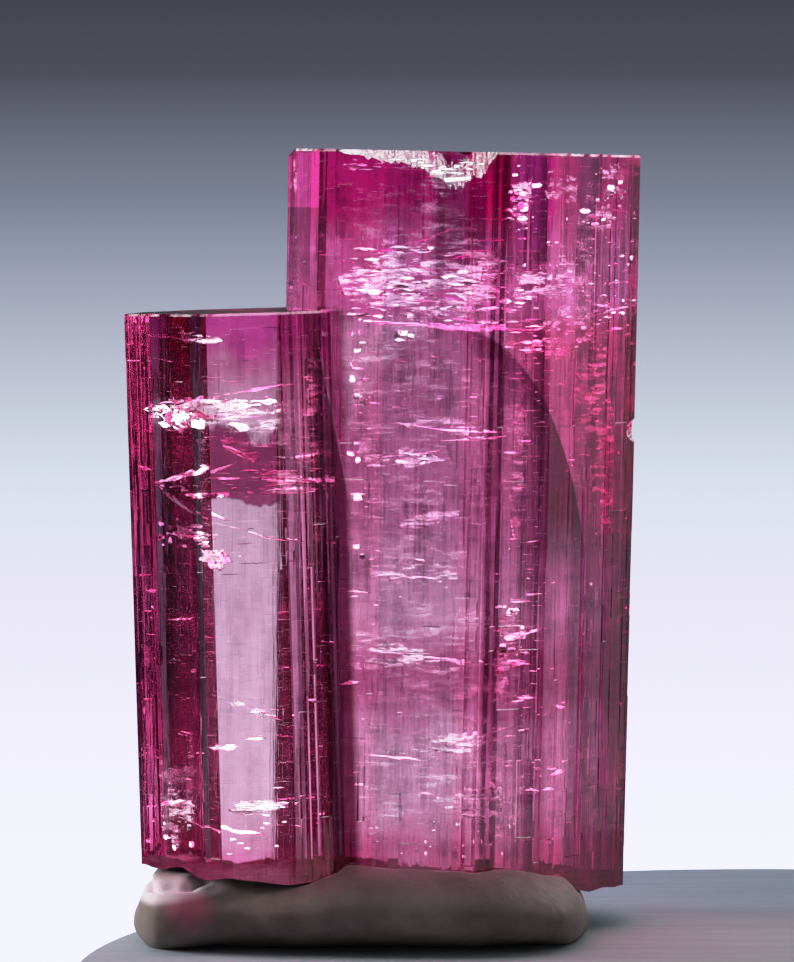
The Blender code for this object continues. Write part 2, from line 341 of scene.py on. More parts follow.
# The long chip off the front rim: (x, depth at the front), both in mm
RIM_CHIP = (
    (-2.8, 0.0),
    (-2.2, 0.22),
    (-0.6, 0.42),
    (0.6, 0.70),
    (1.6, 0.80),
    (2.6, 1.10),
    (3.2, 1.65),
    (3.9, 1.95),
    (4.7, 1.90),
    (5.3, 1.45),
    (6.0, 1.35),
    (6.5, 0.60),
    (6.9, 0.0),
)
RIM_CHIP_FRONT = -9.2  # mm, in front of the rim
RIM_CHIP_DEEP = 6.0  # mm, from the front of the tool to its back
RIM_CHIP_EVEN = 1.4  # mm behind the tool's front, from where the chip gets shallower
RIM_CHIP_REACH = 2.6  # mm, how far back it goes for 1 mm of depth
RIM_CHIP_STEP = 0.09  # mm
RIM_CHIP_RAGGED = ((1.7, 3.3, 0.5), (5.0, 8.1, 0.3))  # rate, seed and share of each wave
RIM_CHIP_RIPPLES = ((2.6, 3.4, 5.0, 0.16), (7.0, 7.0, 9.0, 0.08))  # two rates, seed and size in mm
RIM_CHIP_UNEVEN = 0.8
RIM_CHIP_LEAST = 0.25  # mm, added to the depth for its reach
RIM_CHIP_POWER = 1.3
RIM_CHIP_CLEAR = 0.3  # mm over the top, where nothing is taken off
RIM_CHIP_OVER = 1.5  # mm, how far the tool reaches over the top
# Chips as squashed balls: centre and half sizes in mm
TALL_CHIPS = (
    ((-6.45, 0.4, 48.35), (1.6, 9.5, 1.6)),
    ((16.3, 2.2, 30.4), (1.6, 1.6, 1.0)),
)
SHORT_CHIPS = (
    ((-15.6, -6.4, 4.4), (2.0, 3.0, 1.2)),
    ((-1.3, -7.6, 38.4), (1.3, 2.0, 11.5)),
)
CHIP_RIPPLE = 0.10  # ripples of a shell-like chip, as a share of its size
CHIP_BUMP_RATE = 4.0
CHIP_RING_RATE = 9
CHIP_RING_SHARE = 0.3
CHIP_SEEDS = 3.1  # between one chip and the next
CHIP_COLUMNS = 44
CHIP_ROWS = 26


def chip_ball(centre, half, seed):
    """A squashed ball with shell-like ripples, to chip a crystal with. Sizes in mm."""
    vertices = [Vector((-1.0, 0.0, 0.0))]
    for row in range(1, CHIP_ROWS):
        angle = math.pi * row / CHIP_ROWS
        for column in range(CHIP_COLUMNS):
            turn = 2 * math.pi * column / CHIP_COLUMNS
            away = math.sin(angle)
            vertices.append(Vector((-math.cos(angle), away * math.cos(turn), away * math.sin(turn))))
    vertices.append(Vector((1.0, 0.0, 0.0)))
    for v in vertices:
        bumps = CHIP_RIPPLE * abs(noise.noise(v * CHIP_BUMP_RATE + Vector((seed, 0, 0))))
        v *= 1 - bumps - CHIP_RING_SHARE * CHIP_RIPPLE * abs(math.sin(CHIP_RING_RATE * v.x + seed))
    last = len(vertices) - 1
    faces = []
    for i in range(CHIP_COLUMNS):
        j = (i + 1) % CHIP_COLUMNS
        faces.append((0, 1 + j, 1 + i))
        for row in range(CHIP_ROWS - 2):
            low, high = 1 + row * CHIP_COLUMNS, 1 + (row + 1) * CHIP_COLUMNS
            faces.append((low + i, low + j, high + j, high + i))
        low = 1 + (CHIP_ROWS - 2) * CHIP_COLUMNS
        faces.append((low + i, low + j, last))
    placed = [Vector((c + v[k] * h) * MM for k, (c, h) in enumerate(zip(centre, half))) for v in vertices]
    return add_mesh("chip_tool", placed, faces, hidden=True)


def rim_chip_tool():
    """What the long chip takes off: a ragged shell, deepest at the front, that runs out at both ends."""
    xs = np.arange(RIM_CHIP[0][0], RIM_CHIP[-1][0] + RIM_CHIP_STEP, RIM_CHIP_STEP)
    ys = np.arange(0.0, RIM_CHIP_DEEP + RIM_CHIP_STEP, 2 * RIM_CHIP_STEP)
    top = TALL.top / MM
    vertices = []
    for x, depth in zip(xs, np.interp(xs, *zip(*RIM_CHIP))):
        ragged = sum(c * noise.noise(Vector((x * rate, seed, 0))) for rate, seed, c in RIM_CHIP_RAGGED)
        front = max(0.0, depth * (1 + RIM_CHIP_UNEVEN * ragged))
        reach = RIM_CHIP_REACH * (RIM_CHIP_LEAST + front)
        for y in ys:
            spots = [(Vector((x * a, y * b, seed)), share) for a, b, seed, share in RIM_CHIP_RIPPLES]
            ripple = sum(share * noise.noise(spot) for spot, share in spots)
            fall = front * (1 - (max(0.0, y - RIM_CHIP_EVEN) / reach) ** RIM_CHIP_POWER)
            low = top - fall - ripple * min(1.0, 2 * front)
            vertices.append(Vector((x, RIM_CHIP_FRONT + y, min(low, top + RIM_CHIP_CLEAR))) * MM)
    faces, rim = sheet_faces(len(ys), len(xs), len(vertices))
    # A cut splits each face from its first corner, which decides how the ripples lie
    first_corners = [3 if max(face) < len(vertices) else 2 for face in faces[:-1]]
    faces[:-1] = [face[first:] + face[:first] for face, first in zip(faces, first_corners)]
    vertices += [Vector((vertices[i].x, vertices[i].y, (top + RIM_CHIP_OVER) * MM)) for i in rim]
    return add_mesh("rim_chip_tool", vertices, faces, hidden=True)


# ---------------------------------------------------------------- room and shapes inside
REFRACTION = 1.63  # of the crystals
ROOM_MARGIN = 0.45 * MM  # what a fracture leaves of the crystal round it
FOOT_ROOM = 1.2 * MM
CRACK_EDGE = ((1.3, 0.9), (4.0, 0.7), (11.0, 0.5))  # raggedness as (rate, share)
VEIL_EDGE = ((1.5, 0.8), (5.0, 0.6), (13.0, 0.4))
RAGGED_SHARE = 0.7
PLATE_THICKNESS = 0.012 * MM  # of veils and flecks
CRACK_THICKNESS = 0.035 * MM
CRACK_WAVE = 0.10  # mm
CRACK_WAVES = ((0.35, 1.0), (0.9, 0.6))  # as (rate, share)
CRACK_LIFT = 1.6
CRACK_REACH = (0.25, 0.95)  # least and mean reach, as shares of the half size
SMALL_CRACK = 3  # mm, under which a crack is rougher
SMALL_ROUGH, LARGE_ROUGH, ROUGH_RATE = 0.45, 0.12, 2.3
VEIL_REACH = (0.3, 1.0)
VEIL_WAVES = ((0.7, 0.16), (1.8, 0.08), (4.5, 0.03))
VEIL_DRAWN_OUT = 0.5  # how slowly a veil changes from side to side
VEIL_SEEDS = 3.7
PARTING_WAVE = 0.05
PARTING_DEEP = (0.5, 1.4)  # of the width
PARTING_BEHIND = (0.5, 5.0)  # mm behind the front, least and more
PARTING_SLOPE = (0, 6)  # degrees, mean and spread
PARTING_TILT = (2.5, 3.5)
FLECK_LEAN_BACK = 10.0  # degrees
FLECK_SPREAD = 7.0
FLECK_TURN_SHARE = 1.4  # how much more a fleck turns than it leans
FLECK_UNEVEN = (0.65, 0.5, 1)
FLECK_CORNERS = 5
FLECK_BEND = 0.16
FLECK_SQUARE = 5
FLECK_RINGS, FLECK_SIDES = 2, 10


def room_of(prism):
    """Point and outward normal of each leaning side, for finding the room inside."""
    corners = [Vector((x, y, prism.top / MM / 2)) * MM for x, y, *_ in prism.faces]
    centre = sum(corners, Vector()) / len(corners)
    turn = Matrix.Rotation(prism.lean, 3, "Y")
    planes = []
    for start, end in zip(corners, corners[1:] + corners[:1]):
        side = (end - start).normalized()
        planes.append((centre + turn @ (start - centre), turn @ Vector((side.y, -side.x, 0))))
    planes.append((Vector((0, 0, prism.top)), Vector((0, 0, 1))))
    planes.append((Vector((0, 0, BREAK_LEVEL + FOOT_ROOM)), Vector((0, 0, -1))))
    return planes


def room(planes, start, way):
    """How far one can go from start before coming close to a side."""
    reach = 1.0
    for point, normal in planes:
        approach = normal.dot(way)
        if approach > 1e-6:
            reach = min(reach, (normal.dot(point - start) - ROOM_MARGIN) / approach)
    return max(reach, 0.0)


def inside(planes, place):
    return all(normal.dot(point - Vector(place) * MM) > ROOM_MARGIN for point, normal in planes)


def front_of(prism):
    """A function that gives the y of the front at some x and z, all in mm."""
    corners = [(x, y) for x, y, *_ in prism.faces]
    first = min(range(len(corners)), key=lambda i: corners[i][0])
    chain = [corners[first]]
    while corners[(first + 1) % len(corners)][0] > chain[-1][0]:
        first = (first + 1) % len(corners)
        chain.append(corners[first])
    middle, slope = prism.top / MM / 2, math.tan(prism.lean)
    return lambda x, z: float(np.interp(x - (z - middle) * slope, *zip(*chain)))


def facing_through(front, x, z):
    """How far a plate inside is turned to face the front, as seen through the face before it."""
    slope = math.atan2(front(x + 0.05, z) - front(x - 0.05, z), 0.1)
    return slope - math.asin(math.sin(slope) / REFRACTION)


def thin_body(centre, across, up, edge, lift, thickness, rings, sides):
    """A thin closed body, a lens in section. edge is its reach at an angle, lift its wave at a place."""
    normal = across.cross(up).normalized()
    vertices, faces = [], []
    reaches = [edge(2 * math.pi * k / sides) for k in range(sides)]

    def spot(ring, side, face):
        share = ring / rings
        angle = 2 * math.pi * side / sides
        u, v = reaches[side] * share * math.cos(angle), reaches[side] * share * math.sin(angle)
        half = thickness / 2 * math.sqrt(max(0.0, 1 - share ** 2))
        return centre + across * u + up * v + normal * (lift(u, v) + face * half)

    for face in (1, -1):
        vertices.append(spot(0, 0, face))
        for ring in range(1, rings):
            vertices += [spot(ring, side, face) for side in range(sides)]
    rim = len(vertices)
    vertices += [spot(rings, side, 0) for side in range(sides)]
    for base, turned in ((0, False), (1 + (rings - 1) * sides, True)):
        for i in range(sides):
            j = (i + 1) % sides
            loop = [(base, base + 1 + i, base + 1 + j)]
            for ring in range(1, rings):
                low = base + 1 + (ring - 1) * sides
                high = rim if ring == rings - 1 else low + sides
                loop.append((low + i, high + i, high + j, low + j))
            faces += [tuple(reversed(f)) for f in loop] if turned else loop
    return vertices, faces


def gather(bodies, inside_out=False):
    """Vertices and faces of many small closed bodies, for one mesh."""
    vertices, faces = [], []
    for places, loops in bodies:
        first = len(vertices)
        vertices += places
        faces += [tuple(first + i for i in (reversed(f) if inside_out else f)) for f in loops]
    return vertices, faces


def ragged_edge(planes, centre, across, up, size, least, base, shift, rates):
    """A function for the ragged reach of a sheet at an angle, as far as there is room."""
    def edge(angle):
        c, s = math.cos(angle), math.sin(angle)
        spots = [(Vector((c * rate, s * rate, shift + rate)), share) for rate, share in rates]
        ragged = sum(share * noise.noise(spot) for spot, share in spots)
        full = math.hypot(c / (size[0] / 2), s / (size[1] / 2))
        reach = max(least, base + RAGGED_SHARE * ragged) / full * MM
        return min(reach, room(planes, centre, across * c + up * s))

    return edge


def fracture(planes, x, y, z, wide, deep, slope, tilt, seed, wave=CRACK_WAVE):
    """An air-filled crack. Sizes in mm, the slope along X and the tilt towards the front in degrees."""
    turn = Matrix.Rotation(math.radians(-slope), 3, "Y") @ Matrix.Rotation(math.radians(tilt), 3, "X")
    across, up = turn @ Vector((1, 0, 0)), turn @ Vector((0, 1, 0))
    centre = Vector((x, y, z)) * MM
    shift = 10 * random.Random(seed).random()
    size = max(wide, deep)
    rough = (ROUGH_RATE, SMALL_ROUGH if size < SMALL_CRACK else LARGE_ROUGH)
    edge = ragged_edge(planes, centre, across, up, (wide, deep), *CRACK_REACH, shift, CRACK_EDGE)

    def lift(u, v):
        waves = layers(Vector((u / MM, v / MM, shift)), *CRACK_WAVES, rough)
        return wave * MM * waves * CRACK_LIFT

    rings, sides = max(3, int(min(13, 2 + 1.5 * size))), int(min(76, 14 + 8 * size))
    return thin_body(centre, across, up, edge, lift, CRACK_THICKNESS, rings, sides)


def fleck(place, width, height, facing, rng):
    """A small curved plate that faces the front, with edges that run up and across."""
    aside = rng.gauss(0, FLECK_TURN_SHARE * FLECK_SPREAD)
    turn = Matrix.Rotation(facing + math.radians(aside), 3, "Z")
    turn = turn @ Matrix.Rotation(math.radians(-rng.gauss(FLECK_LEAN_BACK, FLECK_SPREAD)), 3, "X")
    across, up = turn @ Vector((1, 0, 0)), turn @ Vector((0, 0, 1))
    jitter = [drawn(*FLECK_UNEVEN, rng) for _ in range(FLECK_CORNERS)]
    bend_u, bend_v = (FLECK_BEND * (rng.random() - 0.5) for _ in range(2))

    def edge(angle):
        c, s = abs(math.cos(angle)) / (width / 2), abs(math.sin(angle)) / (height / 2)
        corner = int(angle / 2 / math.pi * FLECK_CORNERS) % FLECK_CORNERS
        return jitter[corner] * MM / (c ** FLECK_SQUARE + s ** FLECK_SQUARE) ** (1 / FLECK_SQUARE)

    def lift(u, v):
        return (bend_u * u * u + bend_v * v * v) / MM * 2.0 + 0.3 * bend_u * u * v / MM

    centre = Vector(place) * MM
    return thin_body(centre, across, up, edge, lift, PLATE_THICKNESS, FLECK_RINGS, FLECK_SIDES)


def veil(planes, front, x, z, wide, tall, slope, depth, lean_back, seed):
    """A crumpled sheet of thin gaps that faces the front. Sizes in mm, angles in degrees."""
    turn = Matrix.Rotation(facing_through(front, x, z), 3, "Z")
    turn = turn @ Matrix.Rotation(math.radians(-slope), 3, "Y")
    turn = turn @ Matrix.Rotation(math.radians(-lean_back), 3, "X")
    across, up = turn @ Vector((1, 0, 0)), turn @ Vector((0, 0, 1))
    centre = Vector((x, front(x, z) + depth, z)) * MM
    edge = ragged_edge(planes, centre, across, up, (wide, tall), *VEIL_REACH, seed, VEIL_EDGE)

    def lift(u, v):
        place = Vector((u / MM * VEIL_DRAWN_OUT, v / MM, seed * VEIL_SEEDS))
        return layers(place, *VEIL_WAVES) * MM

    rings, sides = int(min(20, 8 + 3 * tall)), int(min(90, 40 + 6 * wide))
    return thin_body(centre, across, up, edge, lift, PLATE_THICKNESS, rings, sides)


# Fractures as (x, y, z, width, depth, slope, tilt, seed) with sizes in mm and angles in degrees
TALL_FRACTURES = (
    (4.4, -3, 37, 8, 4, -2, 2.5, 1),
    (12.4, 2, 37.7, 6, 4, 6, 3.5, 23),
    (1.4, -3.4, 38.6, 4.5, 2, -4, 3, 2),
    (3.8, -4.6, 41, 4, 1.4, 14, 3, 4),
    (1.4, -4, 41.8, 5.4, 1.2, 20, 3, 5),
    (1.4, -5.6, 29.4, 4.6, 1.6, 5, 2.5, 12),
    (2.8, -4.8, 31, 5.6, 2, -5, 2, 13),
    (5.6, -5.2, 30.4, 3.2, 1.6, 4, 4, 14),
    (7.8, -4.6, 18.6, 2.6, 1.6, 8, 8, 15),
    (7.7, -4.8, 16.9, 2.2, 1.6, -7, 9, 16),
    (3.2, -4.6, 25.6, 3.6, 1.4, 16, 2, 17),
    (1.4, -5.4, 22.2, 5, 1.6, -4, 1, 18),
    (1.6, -4.6, 17.4, 6.4, 3, -6, 0.5, 19),
    (5.4, -4.6, 12.6, 3.8, 1.6, 14, 3, 20),
    (0.6, -5.6, 11.4, 3.2, 1.4, -6, 3, 21),
)
SHORT_FRACTURES = (
    (-13, -4.8, 36.5, 4.6, 1.6, -5, 4, 31),
    (-7.4, -6.8, 33.4, 4, 1.4, 9, 2.5, 32),
    (-11.6, -5.8, 32.6, 5, 1.8, 8, 6, 33),
    (-8.6, -7, 31.8, 3.8, 1.6, -4, 7, 34),
    (-5.6, -5, 28, 5.6, 4, -3, 3, 35),
    (-4.8, -5.6, 29.4, 3.4, 2, 9, 5, 48),
    (-8.6, -6.4, 29.6, 2.8, 1.6, -24, 8, 47),
    (-11.8, -5.4, 28, 6, 2, 15, 3, 36),
    (-12, -5.4, 26.8, 5.6, 1.8, -25, 3, 37),
    (-11.8, -6.2, 24.6, 2.8, 1.6, 5, 9, 38),
    (-9.7, -6.6, 23.4, 1.6, 2.4, -42, 20, 39),
    (-7.6, -6.4, 24.8, 4.4, 1.4, -16, 2, 40),
    (-7.2, -6.6, 14.2, 3.6, 1.4, -22, 1, 41),
    (-7.3, -6.8, 8.6, 3, 1.8, 2, 5, 43),
    (-11.6, -5.8, 19.6, 3.4, 1.6, 8, 3, 44),
    (-9.6, -5.6, 7.2, 3.8, 1.8, -10, 4, 45),
    (-12.4, -5, 8.4, 3, 1.6, 14, 5, 46),
)
# Small partings across the axis, sown at random: (x range, z range, count, width range)
TALL_PARTINGS = (
    ((-1.8, 14.6), (5.5, 46), 50, (0.2, 1.2)),
    ((-1.8, 6.6), (37.4, 42.2), 14, (0.3, 1.6)),
    ((0, 15.2), (36.6, 38.6), 20, (0.4, 2.2)),
    ((7, 9.7), (9, 36), 46, (0.3, 1.5)),
    ((-1.9, -0.6), (9, 36), 26, (0.3, 1.1)),
    ((6, 15), (37, 46), 30, (0.3, 1.2)),
    ((-1, 6), (28, 36), 14, (0.3, 1.2)),
)
SHORT_PARTINGS = (
    ((-14.4, -2.6), (6, 36.5), 24, (0.3, 1.4)),
    ((-9.4, -5.8), (7, 35.5), 6, (0.3, 1.6)),
    ((-14, -9.8), (6, 20), 10, (0.3, 1)),
    ((-14, -2.6), (26.5, 33), 16, (0.3, 2)),
)
# Wispy veils close to the front: (x, z, width, height, slope, depth behind the front, lean back, seed)
TALL_VEILS = (
    (1, 39.6, 6.4, 2.4, 3, 0.9, 3, 1),
    (0.2, 40.2, 3.4, 1.6, 0, 0.6, 4, 2),
    (4.2, 39.9, 5.2, 2.4, -3, 0.8, 3, 3),
    (2.6, 38.2, 8.4, 1.5, -1, 1, 2, 4),
    (2.2, 41.5, 7.4, 0.9, 14, 1.1, 3, 5),
    (5.6, 41, 2.6, 3.4, 0, 1.2, 1, 6),
    (6.4, 38.6, 3.6, 1.8, -12, 0.7, 3, 7),
    (11, 39.4, 7, 3.4, 4, 1, 1, 8),
    (12.6, 43.3, 3.6, 1.8, 0, 1.8, 4.5, 9),
    (8.6, 44.4, 2.4, 3, 0, 1, 3.5, 10),
    (11.8, 36.6, 6.6, 2.2, 10, 1, 1, 11),
    (12.8, 33, 4.6, 5, 20, 1.2, 0, 12),
    (13.4, 28.4, 3, 6, 0, 1.2, 0, 13),
    (7.6, 17.6, 2.6, 5, 0, 0.8, 2, 14),
    (1.4, 29.2, 5.6, 1.1, 3, 1, 1, 15),
    (3.4, 31.2, 6, 1, -4, 1.4, 0.5, 16),
    (1.8, 22.4, 5.6, 1.2, -3, 1.4, 0.5, 17),
    (1.6, 17.2, 6.4, 1.4, -6, 1.6, 0.5, 18),
    (3.2, 25.8, 5.2, 1, 12, 1.6, 0.5, 19),
    (4.6, 12.4, 5, 1.4, 6, 1.2, 0.5, 20),
    (8.2, 28, 2, 9, 0, 1, 0.5, 21),
    (4.4, 45.8, 5, 1.6, 6, 0.8, 2, 22),
    (-5.1, 45.8, 1, 2.8, 0, 1.3, 5, 23),
    (-5.1, 40.2, 1, 1.4, 0, 1.2, 4, 26),
    (13.6, 45.6, 2.6, 1.8, 0, 1.6, 5, 25),
    (10.6, 45.2, 3, 1.6, 0, 1.6, 3.5, 27),
    (6.2, 8.4, 4.4, 2.6, 0, 1, 1, 24),
)
SHORT_VEILS = (
    (-12.2, 32, 3.4, 2, 3, 0.9, 5, 31),
    (-9.4, 31.9, 4, 1.6, 2, 0.7, 3.5, 32),
    (-6.8, 31.6, 3, 1.2, -4, 0.8, 2, 33),
    (-11.8, 36.5, 4.6, 0.6, -6, 0.7, 3, 34),
    (-5.6, 28.2, 5.2, 1.3, -3, 0.7, 2, 35),
    (-8.6, 30, 3, 0.7, -24, 0.8, 3, 36),
    (-11.6, 27.6, 4.6, 0.8, 12, 0.9, 2, 37),
    (-11.8, 24.8, 3.2, 1.6, 4, 0.9, 3, 38),
    (-10.4, 23.6, 2.4, 0.9, -38, 0.9, 3, 39),
    (-7.4, 8.6, 3.2, 0.9, 2, 0.6, 4, 40),
    (-12.4, 8, 3.4, 3.4, 0, 0.9, 1, 41),
    (-8, 14.4, 3.4, 0.6, -20, 0.9, 1, 42),
    (-3.6, 33, 2, 4, 0, 0.8, 0, 44),
)
# Faint haze, written as the veils are
TALL_HAZE = (
    (1.6, 33, 8, 9, 0, 1.8, 0.5, 51),
    (1.8, 25, 8, 9, 0, 2, 0, 52),
    (1.8, 17, 8, 9, 0, 1.8, 0.5, 53),
    (2.4, 10, 8.4, 7, 0, 2, 0, 54),
    (7.4, 31, 3.4, 12, 0, 1.4, 0.5, 55),
    (7.4, 12, 3.4, 12, 0, 1.4, 0.5, 56),
    (12, 40, 6, 9, 0, 1.4, 1, 57),
    (12.6, 32, 5, 8, 0, 1.4, 1, 58),
    (2, 43.6, 8, 4, 0, 1.4, 1, 59),
)
SHORT_HAZE = (
    (-12.4, 9, 4, 7, 0, 1.4, 1, 61),
    (-3.8, 28, 3, 8, 0, 1.4, 0, 62),
    (-8, 30.4, 6, 4, 0, 1.6, 1, 63),
)
# Bright flecks in mm: (x range, z range, count, width range, height range, range behind the front)
TALL_FLECKS = (
    ((7.6, 15.2), (38, 46.8), 60, (0.1, 0.45), (0.05, 0.2), (0.5, 2.5)),
    ((9, 15), (36, 47), 36, (0.15, 0.5), (0.06, 0.25), (0.5, 1.6)),
    ((11.6, 13.2), (42.9, 43.9), 26, (0.4, 1.4), (0.15, 0.6), (0.4, 1)),
    ((12.4, 14.8), (44.4, 46.3), 34, (0.3, 1.2), (0.12, 0.5), (0.4, 1)),
    ((7.2, 8.9), (43.2, 46.2), 30, (0.3, 1), (0.12, 0.4), (0.5, 1.2)),
    ((9.2, 11), (44.2, 45.6), 10, (0.4, 1), (0.3, 0.5), (0.5, 1.2)),
    ((-1.8, 7), (37.2, 41.8), 110, (0.3, 1.6), (0.06, 0.28), (0.5, 2.6)),
    ((-1.4, 1.4), (38.9, 40.4), 26, (0.5, 1.8), (0.1, 0.32), (0.5, 1)),
    ((3.6, 7.2), (38, 40.4), 26, (0.4, 1.4), (0.1, 0.3), (0.5, 1.2)),
    ((7, 15), (35.6, 39.6), 80, (0.3, 1.4), (0.05, 0.22), (0.5, 2)),
    ((-1.9, -1.2), (22, 38), 20, (0.15, 0.6), (0.1, 0.5), (0.4, 0.8)),
    ((0.9, 1.6), (36.2, 36.8), 5, (0.3, 0.7), (0.2, 0.4), (0.5, 0.9)),
    ((0.6, 2.8), (28.9, 29.5), 9, (0.3, 0.9), (0.1, 0.25), (0.5, 0.9)),
    ((14.2, 15.3), (24, 31), 16, (0.2, 0.6), (0.12, 0.4), (0.4, 0.8)),
    ((6.5, 8.8), (16.2, 20.4), 50, (0.2, 0.9), (0.1, 0.4), (0.5, 1.4)),
    ((7, 9.6), (9, 35), 60, (0.2, 0.9), (0.03, 0.1), (0.5, 2)),
    ((-0.6, 10), (5, 7.6), 40, (0.04, 0.1), (0.15, 0.6), (0.6, 2)),
    ((-2.3, 6.2), (46.3, 47.1), 40, (0.3, 1.3), (0.05, 0.16), (0.4, 0.9)),
    ((9, 15.2), (8, 37), 50, (0.1, 0.5), (0.04, 0.2), (0.5, 2.6)),
    ((-0.6, 6.8), (8, 36), 24, (0.1, 0.6), (0.03, 0.12), (0.5, 4)),
    ((-5.6, -4), (38.6, 46.8), 26, (0.15, 0.5), (0.15, 0.5), (0.5, 3)),
)
SHORT_FLECKS = (
    ((-13.6, -10.2), (31.3, 32.4), 16, (1.4, 2.4), (0.5, 1), (0.6, 0.9)),
    ((-10.4, -6.6), (31, 32.8), 14, (0.6, 1.5), (0.1, 0.4), (0.5, 0.9)),
    ((-13.6, -11.4), (31, 32.4), 10, (0.5, 1.2), (0.3, 0.8), (0.6, 1.3)),
    ((-11.6, -8.8), (31, 33), 20, (0.2, 0.8), (0.15, 0.5), (0.6, 1.8)),
    ((-9, -6.2), (30.8, 32.8), 16, (0.2, 0.8), (0.1, 0.3), (0.6, 1.8)),
    ((-14, -8.6), (26.6, 28.2), 14, (0.2, 0.8), (0.08, 0.3), (0.6, 2)),
    ((-13.1, -10.3), (23.9, 25.6), 20, (0.2, 0.8), (0.12, 0.4), (0.6, 1.2)),
    ((-8.8, -2.6), (27.2, 28.8), 16, (0.3, 1.2), (0.05, 0.18), (0.6, 2.4)),
    ((-8.7, -5.8), (8.2, 9), 8, (0.5, 1.1), (0.08, 0.16), (0.5, 1)),
    ((-9.4, -5.8), (5.8, 8.2), 8, (0.2, 0.6), (0.06, 0.2), (0.5, 2)),
    ((-14.2, -11), (4.8, 7.4), 18, (0.2, 0.6), (0.12, 0.4), (0.5, 1.6)),
    ((-14.2, -9.8), (6, 22), 8, (0.1, 0.6), (0.08, 0.3), (0.5, 1.2)),
    ((-4.6, -2.4), (8, 36), 20, (0.1, 0.6), (0.05, 0.25), (0.5, 1.4)),
)


def sown(values, rng):
    low, high = values
    return low + (high - low) * rng.random()


def cracks_of(prism, fractures, partings, seed):
    rng = random.Random(seed)
    planes, front = room_of(prism), front_of(prism)
    bodies = [fracture(planes, *numbers) for numbers in fractures]
    for across, up, count, widths in partings:
        for _ in range(count):
            x, z = sown(across, rng), sown(up, rng)
            width = drawn(widths[0], widths[1] - widths[0], 2, rng)
            deep = width * sown(PARTING_DEEP, rng)
            least, more = PARTING_BEHIND
            y = front(x, z) + least + deep / 2 + more * rng.random() ** 3
            if inside(planes, (x, y, z)):
                slope, tilt = rng.gauss(*PARTING_SLOPE), rng.gauss(*PARTING_TILT)
                shift = rng.random()
                bodies.append(fracture(planes, x, y, z, width, deep, slope, tilt, shift, PARTING_WAVE))
    return bodies


def veils_of(prism, veils):
    planes, front = room_of(prism), front_of(prism)
    return gather([veil(planes, front, *numbers) for numbers in veils])


def flecks_of(prism, clusters, seed):
    rng = random.Random(seed)
    planes, front = room_of(prism), front_of(prism)
    bodies = []
    for across, up, count, widths, heights, depths in clusters:
        for _ in range(count):
            x, z = sown(across, rng), sown(up, rng)
            place = (x, front(x, z) + sown(depths, rng), z)
            if inside(planes, place):
                width, height = sown(widths, rng), sown(heights, rng)
                bodies.append(fleck(place, width, height, facing_through(front, x, z), rng))
    return gather(bodies)


# ---------------------------------------------------------------- nodes
def add_node(tree, kind, **settings):
    node = tree.nodes.new(kind)
    for key, value in settings.items():
        setattr(node, key, value)
    return node


def feed(socket, value):
    """Sets a socket from a number, a colour or another socket."""
    if isinstance(value, bpy.types.NodeSocket):
        socket.id_data.links.new(value, socket)
    elif isinstance(value, tuple) and len(value) == 3 and socket.type == "RGBA":
        socket.default_value = (*value, 1.0)
    else:
        socket.default_value = value


def built(kind, values, **settings):
    """A node with its first inputs fed, in the tree of the first socket among the values."""
    tree = next(value.id_data for value in values if isinstance(value, bpy.types.NodeSocket))
    node = add_node(tree, kind, **settings)
    for socket, value in zip(node.inputs, values):
        feed(socket, value)
    return node


def maths(operation, *values):
    return built("ShaderNodeMath", values, operation=operation).outputs[0]


def times(*values):
    result = values[0]
    for value in values[1:]:
        result = maths("MULTIPLY", result, value)
    return result


def plus(first, second):
    return maths("ADD", first, second)


def minus(first, second):
    return maths("SUBTRACT", first, second)


def square(value):
    return maths("POWER", value, 2.0)


def fade(value, low, high, start=0.0, end=1.0):
    """A smooth step of value from low to high."""
    settings = {"interpolation_type": "SMOOTHSTEP"}
    return built("ShaderNodeMapRange", (value, low, high, start, end), **settings).outputs[0]


def combine(x, y, z):
    return built("ShaderNodeCombineXYZ", (x, y, z)).outputs[0]


def split(value):
    return built("ShaderNodeSeparateXYZ", (value,)).outputs


def vector_maths(operation, place, numbers):
    return built("ShaderNodeVectorMath", (place, numbers), operation=operation)


def mix(factor, first, second, blend="MIX"):
    sockets = (v for v in (factor, first, second) if isinstance(v, bpy.types.NodeSocket))
    tree = next(sockets).id_data
    node = add_node(tree, "ShaderNodeMix", data_type="RGBA", blend_type=blend)
    for index, value in ((0, factor), (6, first), (7, second)):
        feed(node.inputs[index], value)
    return node.outputs[2]


def multiply(first, second):
    return mix(1.0, first, second, "MULTIPLY")


def ramp(factor, stops):
    """A colour ramp from (position, colour) stops, where a plain number means grey."""
    node = built("ShaderNodeValToRGB", (factor,))
    band = node.color_ramp
    band.interpolation = "LINEAR"
    while len(band.elements) < len(stops):
        band.elements.new(0.5)
    for element, (position, colour) in zip(band.elements, stops):
        element.position = position
        element.color = (colour,) * 3 + (1,) if isinstance(colour, (int, float)) else (*colour, 1.0)
    return node.outputs[0]


def noise_value(vector, scale=1.0, detail=2.0, roughness=0.5):
    node = built("ShaderNodeTexNoise", (vector,))
    for label, value in (("Scale", scale), ("Detail", detail), ("Roughness", roughness)):
        node.inputs[label].default_value = value
    return node.outputs["Fac"]


def random_cell(column, row, seed):
    """One random number from 0 to 1 for each whole column and row."""
    whole = [maths("FLOOR", v) if isinstance(v, bpy.types.NodeSocket) else v for v in (column, row)]
    return built("ShaderNodeTexWhiteNoise", (combine(*whole, seed),)).outputs["Value"]


def over(below, colour, mask):
    """Tints what is below by a colour where the mask is 1."""
    return multiply(below, mix(mask, (1.0, 1.0, 1.0), colour))


def place_in(tree):
    """Object coordinates."""
    return add_node(tree, "ShaderNodeTexCoord").outputs["Object"]


